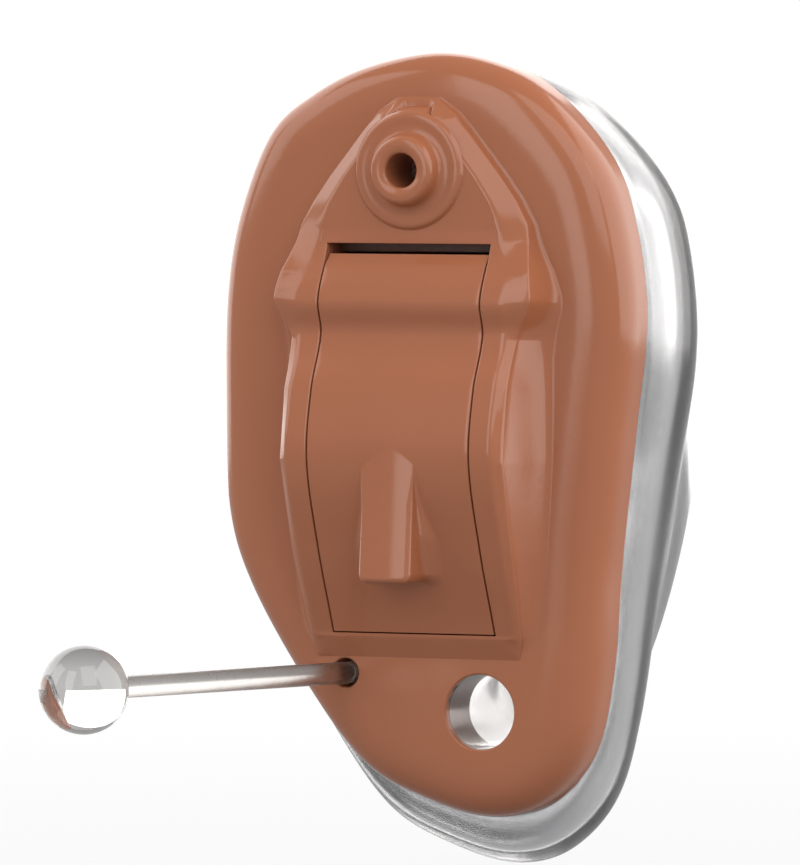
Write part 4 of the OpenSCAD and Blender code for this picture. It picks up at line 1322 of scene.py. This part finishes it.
@dataclass
class Vent:
    """Clear vent tube from the plate to the canal tip, with smooth bends."""

    bore_r: float = 0.85
    wall_r: float = 1.005
    points: tuple = ((1.51, -1.19, -6.23), (1.51, 1.6, -6.23), (-0.9065, 6.6, -3.987), (-2.499, 13.0, -2.43))
    bend: float = 1.3
    columns: int = 72

    def path(self, extra: float = 0.0) -> Array:
        """Centre line with its two bends rounded, carried on past the tip by extra."""
        p = np.asarray(self.points, float)
        ways = np.diff(p, axis=0)
        ways /= np.linalg.norm(ways, axis=1, keepdims=True)
        parts = [np.linspace(p[0], p[1] - ways[0] * self.bend, 12)]
        for k in (1, 2):
            a, c = p[k] - ways[k - 1] * self.bend, p[k] + ways[k] * self.bend
            parts.append(bezier(a, p[k], c, 14)[1:])
            last = p[k + 1] - (ways[k] * self.bend if k == 1 else -ways[k] * extra)
            parts.append(np.linspace(c, last, 16)[1:])
        return np.vstack(parts)

    def rings(self, radius: float) -> Array:
        """Grid round the centre line; the last ring is slid along the tube into the tip's plane."""
        path = self.path()
        grid = pipe(path, radius, self.columns)
        way = path[-1] - path[-2]
        way /= np.linalg.norm(way)
        tip = self.points[-1][1]
        for k in (-1, -2):
            slide = (tip - grid[k, :, 1] + (k + 1) * 0.1) / way[1]
            grid[k] = grid[k] + way * slide[:, None]
        return grid

    def core(self, radius: float, skip: int) -> Skin:
        """Solid round core of the tube, for boring the shell; it starts some rings behind the plate."""
        return skin(pipe(self.path(2.0)[skip:], radius, self.columns))

    def build(self, shop: Workshop) -> None:
        """Makes the tube."""
        rows = np.concatenate([self.rings(self.wall_r), self.rings(self.bore_r)[::-1]])
        shop.piece("vent_lining", skin(rows, True), "clear_tube", Slot.TUBE, "vent_tube", crease=50.0)


@dataclass
class PullLine:
    """Removal line with its ball tip, and the bead that holds it behind the plate."""

    root: tuple = (-1.86, -1.4, -5.42)
    lean: float = 15.0
    length: float = 8.75
    line_r: float = 0.25
    ball_r: float = 1.0
    bead_r: float = 0.55
    bead_len: float = 0.95
    gap: float = 0.03

    def build(self, shop: Workshop) -> None:
        """Makes the line, the ball and the bead. The line and the ball are turned with Y along the line."""
        s, c = math.sin(math.radians(self.lean)), math.cos(math.radians(self.lean))
        turn = np.array([[c, -s, 0], [-s, -c, 0], [0, 0, 1]])
        r, ball_r, length = self.line_r, self.ball_r, self.length
        a = np.linspace(0, np.pi / 2, 8)
        root = np.stack([r * np.sin(a), -r * np.cos(a)], -1)
        run = np.linspace(0, length - ball_r - 0.02, 40)[1:]
        body = np.stack([np.full(len(run), r), run], -1)
        inner = np.linspace(r, 0, 6)
        end = np.stack([inner, length - np.sqrt((ball_r + 0.004) ** 2 - inner**2)], -1)
        line = lathe(np.vstack([root, body, end]), 48, False)
        b = np.linspace(0, np.pi, 65)
        ball = lathe(np.stack([ball_r * np.sin(b), length - ball_r * np.cos(b)], -1), 128, False)
        for name, shape, finish, node, crease in (
            ("line_clear", line, "clear_nylon", "removal_line", 50.0),
            ("ball_clear", ball, "ball_nylon", "removal_ball", 80.0),
        ):
            shop.piece(name, shape.turned(turn, self.root), finish, Slot.NYLON, node, Body.LINE, crease)
        start = self.root[1] + r + self.gap
        d = np.linspace(0, np.pi / 2, 14)
        dome = np.stack([self.bead_r * np.cos(d), 0.06 + self.bead_len * np.sin(d)], -1)
        dome[-1, 0] = 0.0
        stub = [[0.0, start], [r - 0.03, start], [r, start + 0.03], [r, 0.0], [self.bead_r * 0.9, 0.0]]
        bead = lathe(np.vstack([stub, dome]), 48, False).moved(self.root[0], 0, self.root[2])
        shop.piece("line_bead", bead, "melted_nylon", Slot.NYLON, "line_anchor", crease=50.0)


@dataclass
class Cell:
    """Zinc-air button cell on its side in the door's cradle, and the pin that the door turns on."""

    middle: tuple = (0.45, -0.45)
    radius: float = 2.9
    thick: float = 3.6
    wall: float = 0.15
    step: float = 0.216
    hole_r: float = 0.2
    hole_at: float = 1.2
    hinge: tuple = (-1.93, 3.05)
    pin_r: float = 0.25
    pin_len: float = 5.5

    @staticmethod
    def lay(shape: Skin, y: float, z: float) -> Skin:
        """Turns a lathed shape's axis from Y to X and moves it to its place."""
        return shape.turned([[0, 1, 0], [-1, 0, 0], [0, 0, 1]], (0, y, z))

    def build(self, shop: Workshop) -> None:
        """Makes the can, the seal, the cap and the pin."""
        y, z = self.middle
        low, r, w = -self.thick / 2, self.radius, self.wall
        rim = low + self.thick - 2 * self.step
        can = spun([
            (0, low, 0), (r, low, 0.3), (r, rim, 0.14), (r - w, rim, 0.05), (r - w, low + w, 0.12),
            (0, low + w, 0),
        ], 128, 8, False)
        hole = disc(self.hole_r, low - 0.5, low + 0.1, 0, 32)
        quarters = np.arange(4) * math.pi / 2
        holes = [
            self.lay(hole, y - self.hole_at * math.sin(a), z + self.hole_at * math.cos(a)) for a in quarters
        ]
        seal_top = low + self.thick - self.step
        cap_r = r - 2 * w
        seal = spun([
            (cap_r, low + w, 0.02), (r - w, low + w, 0.02), (r - w, seal_top - 0.1, 0.06),
            (cap_r, seal_top, 0.04),
        ], 128, 5)
        cap = spun([
            (0, low + w, 0), (cap_r, low + w, 0.05), (cap_r, seal_top, 0.1),
            (cap_r - self.step, seal_top + 0.02, 0.05), (cap_r - self.step - 0.03, -low, 0.14), (0, -low, 0),
        ], 128, 7, False)
        for name, shape, finish, slot, node, crease, cutters in (
            ("cell_can", can, "can_nickel", Slot.NICKEL, "battery_can", 40.0, holes),
            ("cell_seal", seal, "seal_blue", Slot.SEAL, "battery_gasket", 38.0, ()),
            ("cell_cap", cap, "can_nickel", Slot.STEEL, "battery_cap", 38.0, ()),
        ):
            shop.piece(name, self.lay(shape, y, z), finish, slot, node, Body.DOOR, crease, cutters)
        pin = disc(self.pin_r, -self.pin_len / 2, self.pin_len / 2, 0.06, 40, 5)
        shop.piece("door_pin", self.lay(pin, *self.hinge), "pin_steel", Slot.STEEL, "hinge_pin")


@dataclass
class Outlet:
    """Sound outlet at the canal tip: receiver, boot, tube, sleeve and wax guard on one leaning axis."""

    tip: tuple = (-2.45, 13.0, 0.45)
    lean: float = 12.5
    sleeve_r: float = 1.2
    sleeve_len: float = 1.9
    guard_r: float = 0.8
    guard_len: float = 1.3
    rim_r: float = 1.05
    rim_t: float = 0.2
    bore_r: float = 0.5
    sound_r: float = 0.34
    membrane_t: float = 0.1
    case: tuple = (2.73, 5.0, 1.98)
    case_round: float = 0.3
    spout_r: float = 0.6
    spout_len: float = 0.5
    boot_wall: float = 0.22
    boot_len: float = 3.4
    tube_wall: float = 0.25
    clear: float = 0.03

    @property
    def case_front(self) -> float:
        """Where the receiver's case ends, behind the tip."""
        return self.sleeve_len + self.spout_len * 1.2

    def place(self, shape: Skin, back: float) -> Skin:
        """Puts a shape on the outlet's axis, its origin this far behind the tip."""
        a = math.radians(self.lean)
        turn = [[math.cos(a), -math.sin(a), 0], [math.sin(a), math.cos(a), 0], [0, 0, 1]]
        return shape.moved(0, -back, 0).turned(turn, self.tip)

    def point(self, x: float, y: float, z: float) -> Array:
        """A point of the outlet's own axes, in the part's axes."""
        return self.place(Skin(np.array([[x, y, z]]), []), 0.0).points[0]

    def receiver(self, shop: Workshop) -> None:
        """Makes the receiver's case with its spout, its solder and its boot."""
        w, length, h = self.case
        case_back = self.case_front + length
        case = block(self.case, (0, length / 2, 0), 0.12, self.case_round, 6)
        spout = spun([
            (self.sound_r, length - 0.1, 0.02), (self.spout_r, length - 0.1, 0.02),
            (self.spout_r, length + self.spout_len, 0.06), (self.sound_r, length + self.spout_len, 0.04),
        ], 48, 5)
        case = self.place(case + spout, case_back)
        shop.piece("receiver_case", case, "case_nickel", Slot.NICKEL, "receiver")
        drops = solder_drops(0.22, [(k * w * 0.25, 0.0, 0) for k in (-1, 1)], np.diag([1, -1, -1]))
        shop.piece("receiver_solder", self.place(drops, case_back), "solder", Slot.GOLD, "receiver_pads")
        both, middle = 2 * self.boot_wall, (0, self.boot_len / 2, 0)
        boot = block((w + both, self.boot_len, h + both), middle, 0.08, self.case_round + self.boot_wall, 6)
        hollow = block((w + 2 * FIT, self.boot_len + 2, h + 2 * FIT), middle, 0.05, self.case_round, 6)
        back = self.case_front + self.boot_len * 1.1
        shop.piece(
            "receiver_rubber", self.place(boot, back), "rubber_pale", Slot.PALE_RUBBER, "receiver_boot",
            crease=40.0, cutters=[self.place(hollow, back)],
        )

    def build(self, shop: Workshop) -> None:
        """Makes every piece on the outlet's axis."""
        self.receiver(shop)
        seat = self.sleeve_len * 0.25
        tube_len = self.case_front - self.sleeve_len + seat
        tube_r, hole = self.spout_r + self.tube_wall, self.guard_r + self.clear
        collar_r = self.sleeve_r - 3 * FIT
        tube = spun([
            (self.spout_r, 0.0, 0.02), (tube_r, 0.0, 0.06), (tube_r, tube_len, 0.04),
            (self.sound_r, tube_len, 0.04), (self.sound_r, self.spout_len, 0.02),
            (self.spout_r, self.spout_len, 0.02),
        ], 64, 5)
        collar = spun([
            (hole, self.sleeve_len, 0.04), (collar_r, self.sleeve_len, 0.02), (collar_r, 0.0, 0.04),
            (tube_r, 0.0, 0.03), (tube_r, seat, 0.02), (hole, seat, 0.02),
        ], 96, 5)
        front, floor = self.guard_len + self.rim_t, self.membrane_t * 3
        guard = spun([
            (self.sound_r, 0.0, 0.04), (self.guard_r - 0.05, 0.0, 0.1), (self.guard_r, 0.3, 0.1),
            (self.guard_r, self.guard_len, 0.03), (self.rim_r, self.guard_len, 0.06),
            (self.rim_r, front, 0.09), (self.bore_r, front, 0.1), (self.bore_r, floor, 0.02),
            (self.sound_r, floor, 0.02),
        ], 80, 6)
        film = disc(self.bore_r - 2 * FIT, 0, self.membrane_t, 0.02, 48)
        for name, shape, back, finish, slot, node, body in (
            ("sound_tube", tube, self.case_front, "clear_tube", Slot.TUBE, "receiver_tube", Body.AID),
            (
                "outlet_collar", collar, self.sleeve_len, "white_moulded", Slot.WHITE, "outlet_sleeve",
                Body.AID,
            ),
            ("guard_basket", guard, self.guard_len, "white_moulded", Slot.WHITE, "wax_guard", Body.GUARD),
            (
                "guard_film", film, self.guard_len - floor, "guard_membrane", Slot.SCREEN,
                "wax_guard_membrane", Body.GUARD,
            ),
        ):
            shop.piece(name, self.place(shape, back), finish, slot, node, body)


@dataclass
class Electronics:
    """Circuit board with its chip, capacitors and wires."""

    board: tuple = (4.2, 0.35, 5.6)
    board_x: float = -0.9
    board_z: float = -0.3
    board_y: float = 4.1
    chip: float = 2.6
    chip_t: float = 0.6
    capacitor: tuple = (0.5, 0.5, 1.0)
    capacitor_gap: float = 0.22
    wire_r: float = 0.1
    solder: float = 0.08
    frame_w: float = 4.68
    contact: tuple = (0.26, 2.9, -0.45)

    def build(self, shop: Workshop, mic: MicPort, outlet: Outlet) -> None:
        """Makes the board, what is on it, and the wires."""
        _, t, _ = self.board
        x, z, top = self.board_x, self.board_z, self.board_y + t
        cw, ct, ch = self.capacitor
        cap_y, cap_z = top + ct / 2, z + self.chip / 2 + self.capacitor_gap + ch / 2
        bodies, ends = [], []
        for cap_x in (x + k * ch * 1.25 for k in (-1, 0, 1)):
            bodies.append(block((cw - 0.03, ct - 0.03, ch - 0.06), (cap_x, cap_y, cap_z), 0.03, 0.05, 3))
            for s in (-1, 1):
                place = (cap_x, cap_y, cap_z + s * (ch / 2 - 0.12))
                ends.append(block((cw, ct, 0.24), place, 0.05, 0.06, 3))
        board = block(self.board, (x, self.board_y + t / 2, z), 0.05, 0.25, 5)
        chip = block((self.chip, self.chip_t, self.chip), (x, top + self.chip_t / 2, z), 0.06, 0.1, 4)
        shop.piece("circuit", board, "circuit_green", Slot.BOARD, "circuit_board")
        shop.piece("amplifier", chip, "chip_epoxy", Slot.CHIP, "amplifier_chip")
        shop.piece("capacitor_bodies", joined(bodies), "ceramic_tan", Slot.CERAMIC, "capacitors")
        shop.piece("capacitor_ends", joined(ends), "solder", Slot.STEEL)
        self.wires(shop, mic, outlet)

    def wires(self, shop: Workshop, mic: MicPort, outlet: Outlet) -> None:
        """Insulated wires, each a rod along a quadratic curve between two solder joints."""
        w, t, h = self.board
        x, z, y, solder = self.board_x, self.board_z, self.board_y, self.solder
        runs = []
        for k, colour in ((-1, "red"), (0, "green"), (1, "blue")):
            pad = k * mic.pad_step
            runs.append((
                f"mic_wire_{k + 2}", colour, Slot.RED, "mic_wires",
                (pad, mic.back_y + mic.mic_len + 2 * solder, mic.z), (pad + x * 0.5, y * 0.75, mic.z * 0.8),
                (x + k * w * 0.25, y + t / 2, z + h / 2 + solder),
            ))
        for k, colour in ((0, "yellow"), (1, "blue")):
            foot = (x + (k - 0.5) * self.chip * 0.7, y + t + solder, z - self.chip * 0.68)
            case_back = outlet.case_front + outlet.case[1]
            runs.append((
                f"receiver_wire_{k + 1}", colour, Slot.BLUE, "receiver_wires",
                outlet.point((2 * k - 1) * outlet.case[0] * 0.25, -case_back - solder * 2.5, 0.0),
                (foot[0], y + t + self.chip_t * 1.6, foot[2] - 0.4), foot,
            ))
        out, contact_y, contact_z = self.contact
        for k, colour in ((0, "red"), (1, "black")):
            s = 2 * k - 1
            runs.append((
                f"battery_wire_{k + 1}", colour, Slot.BLACK, "battery_wires",
                (s * (self.frame_w / 2 + out), contact_y, contact_z),
                (s * self.frame_w * 0.75, y * 0.97, contact_z * 3.5),
                (x + s * (w / 2 + solder * 1.5), y + t / 2, contact_z * 4.4),
            ))
        for name, colour, slot, node, a, b, c in runs:
            shape = rod(bezier(a, b, c, 30), self.wire_r, 14)
            shop.piece(name, shape, f"wire_{colour}", slot, node, crease=60.0)


@dataclass
class Studio:
    """Floor, backdrop light, lamps and the camera.

    A lamp is its name, its place round and above the aid in degrees, its distance, width and height in
    metres and the brightness of its face, where 1 is white.
    """

    anchor: tuple = (0.0, -1.4, 0.0)
    azimuth: float = 26.0
    elevation: float = 2.0
    distance: float = 260.0
    pixels_per_mm: float = 44.3
    frame_px: tuple = (800.0, 865.0)
    anchor_px: tuple = (419.0, 435.0)
    sensor: float = 36.0
    gloss_level: float = 0.55
    light_level: float = 0.79
    floor_half: float = 4.0
    floor_tone: tuple = (0.32, 0.32, 0.32, 1.0)
    floor_through: float = 0.92
    shade_stops: tuple = (
        (0.0, WHITE), (0.4, (0.96, 0.96, 0.96)), (0.8, (0.62, 0.62, 0.63)), (1.0, (0.5, 0.5, 0.51)),
    )
    fall_stops: tuple = ((0.0, (0.62, 0.62, 0.62)), (0.5, (0.78, 0.78, 0.78)), (1.0, WHITE))
    lamp_tone: tuple = (1.0, 0.98, 0.96)
    lamps: tuple = (
        ("front_box", -11.0, 22.0, 0.45, 0.165, 0.42, 1.9),
        ("right_box", 116.0, 25.0, 0.40, 0.76, 0.50, 1.9),
        ("left_box", -129.0, 23.0, 0.40, 0.76, 0.40, 1.9),
        ("high_box", 42.0, 38.0, 0.45, 0.30, 0.44, 1.6),
        ("knuckle_box", -60.0, 28.0, 0.45, 0.22, 0.32, 1.6),
    )

    @staticmethod
    def direction(azimuth: float, elevation: float) -> Vector:
        """Unit vector towards a place seen from the aid; azimuth 0 is straight in front."""
        a, e = math.radians(azimuth), math.radians(elevation)
        return Vector((math.sin(a) * math.cos(e), -math.cos(a) * math.cos(e), math.sin(e)))

    @staticmethod
    def link(name: str, data: bpy.types.ID) -> bpy.types.Object:
        """New object in the scene."""
        made = bpy.data.objects.new(name, data)
        bpy.context.scene.collection.objects.link(made)
        return made

    def camera(self) -> None:
        """Camera at the photograph's angle; it looks at the point that the photograph's middle shows."""
        data = bpy.data.cameras.new("camera")
        data.sensor_fit = "HORIZONTAL"
        data.sensor_width = self.sensor
        data.lens = self.pixels_per_mm * self.distance / self.frame_px[0] * self.sensor
        data.clip_start, data.clip_end = 0.01, 20.0
        made = self.link("camera", data)
        back = self.direction(self.azimuth, self.elevation)
        right = Vector((0, 0, 1)).cross(back).normalized()
        up = back.cross(right)
        to_middle = right * ((self.frame_px[0] / 2 - self.anchor_px[0]) / self.pixels_per_mm * MM)
        to_middle -= up * ((self.frame_px[1] / 2 - self.anchor_px[1]) / self.pixels_per_mm * MM)
        made.location = Vector(self.anchor) * MM + to_middle + back * self.distance * MM
        made.rotation_mode = "QUATERNION"
        made.rotation_quaternion = (-back).to_track_quat("-Z", "Y")
        bpy.context.scene.camera = made

    def lamp(self, row: Sequence) -> None:
        """Rectangular softbox that looks at the aid, from one row of the lamps."""
        name, azimuth, elevation, away, w, h, level = row
        data = bpy.data.lights.new(name, "AREA")
        data.shape = "RECTANGLE"
        data.size, data.size_y = w, h
        data.energy = level * math.pi * w * h
        data.color = self.lamp_tone
        made = self.link(name, data)
        way = self.direction(azimuth, elevation)
        made.location = way * away
        made.rotation_mode = "QUATERNION"
        made.rotation_quaternion = way.to_track_quat("Z", "Y")

    def world(self) -> None:
        """White where the camera looks, a soft fall where gloss or glass looks, a plain level for light."""
        world = bpy.data.worlds.new("studio")
        bpy.context.scene.world = world
        world.use_nodes = True
        bench = Bench(world.node_tree)
        camera, glossy, through = bench.rays()
        up = bench.wire("ShaderNodeSeparateXYZ", {0: bench.wire("ShaderNodeTexCoord", {}, "Generated")}, 2)
        shade = bench.wire("ShaderNodeValToRGB", {"Fac": up.size()}, stops=self.shade_stops)
        fall = bench.wire("ShaderNodeValToRGB", {"Fac": up * 0.5 + 0.5}, stops=self.fall_stops)
        seen, shine = bench.backdrop(shade, 1.0), bench.backdrop(shade, self.gloss_level)
        shown = bench.blend(through, bench.backdrop(fall, self.light_level), seen)
        shown = bench.blend(camera, bench.blend(glossy, shown, shine), bench.backdrop(WHITE, 1.0))
        bench.node("ShaderNodeOutputWorld", {"Surface": shown})

    def floor(self, z: float) -> None:
        """Pale floor that shows white and keeps the object's shadow; near the aid more of its grey paper
        shows, a painted shade round it; gloss looks through it.
        """
        mesh = bpy.data.meshes.new("floor")
        s = self.floor_half
        mesh.from_pydata([(-s, -s, z), (s, -s, z), (s, s, z), (-s, s, z)], [], [(0, 1, 2, 3)])
        made = self.link("floor", mesh)
        bench, material = Bench.for_material("floor_white")
        camera, glossy, through = bench.rays()
        seen = camera.most(through * self.floor_through)
        paper = bench.wire("ShaderNodeBsdfDiffuse", {"Color": self.floor_tone})
        glow = bench.wire("ShaderNodeEmission", {"Color": (*WHITE, 1.0), "Strength": 1.0})
        here = bench.wire("ShaderNodeTexCoord", {}, "Object")
        away = bench.wire("ShaderNodeVectorMath", {0: here}, "Value", operation="LENGTH")
        reach = {"Value": away, "From Min": 0.02, "From Max": 0.06, "To Min": 0.93, "To Max": 1.0}
        # Painted shade: within a few centimetres of the aid the camera sees a little more of the grey paper.
        painted_shade_fade = bench.wire("ShaderNodeMapRange", reach, interpolation_type="SMOOTHSTEP")
        clear = bench.wire("ShaderNodeBsdfTransparent", {})
        shown = bench.blend(glossy, bench.blend(seen * painted_shade_fade, paper, glow), clear)
        bench.node("ShaderNodeOutputMaterial", {"Surface": shown})
        mesh.materials.append(material)

    def build(self, floor_z: float) -> None:
        """Sets the whole studio up."""
        bpy.context.scene.view_settings.view_transform = "Standard"
        self.camera()
        self.world()
        self.floor(floor_z)
        for row in self.lamps:
            self.lamp(row)


def main() -> None:
    logging.basicConfig(level=logging.INFO, format="%(name)s: %(message)s")
    shop = Workshop()
    mic, outlet, vent = MicPort(), Outlet(), Vent()
    Plate().build(shop)
    Door().build(shop)
    mic.build(shop)
    Shell().build(shop, outlet, vent)
    vent.build(shop)
    PullLine().build(shop)
    Cell().build(shop)
    outlet.build(shop)
    Electronics().build(shop, mic, outlet)
    shop.dress("battery_frame", "frame_brown_and_slot_shade")
    shop.dress("contact_positive", "spring_gold")
    shop.dress("contact_negative", "spring_gold")
    Studio().build(CAD_BOX[0][2] - FLOOR_GAP)


if __name__ == "__main__":
    main()
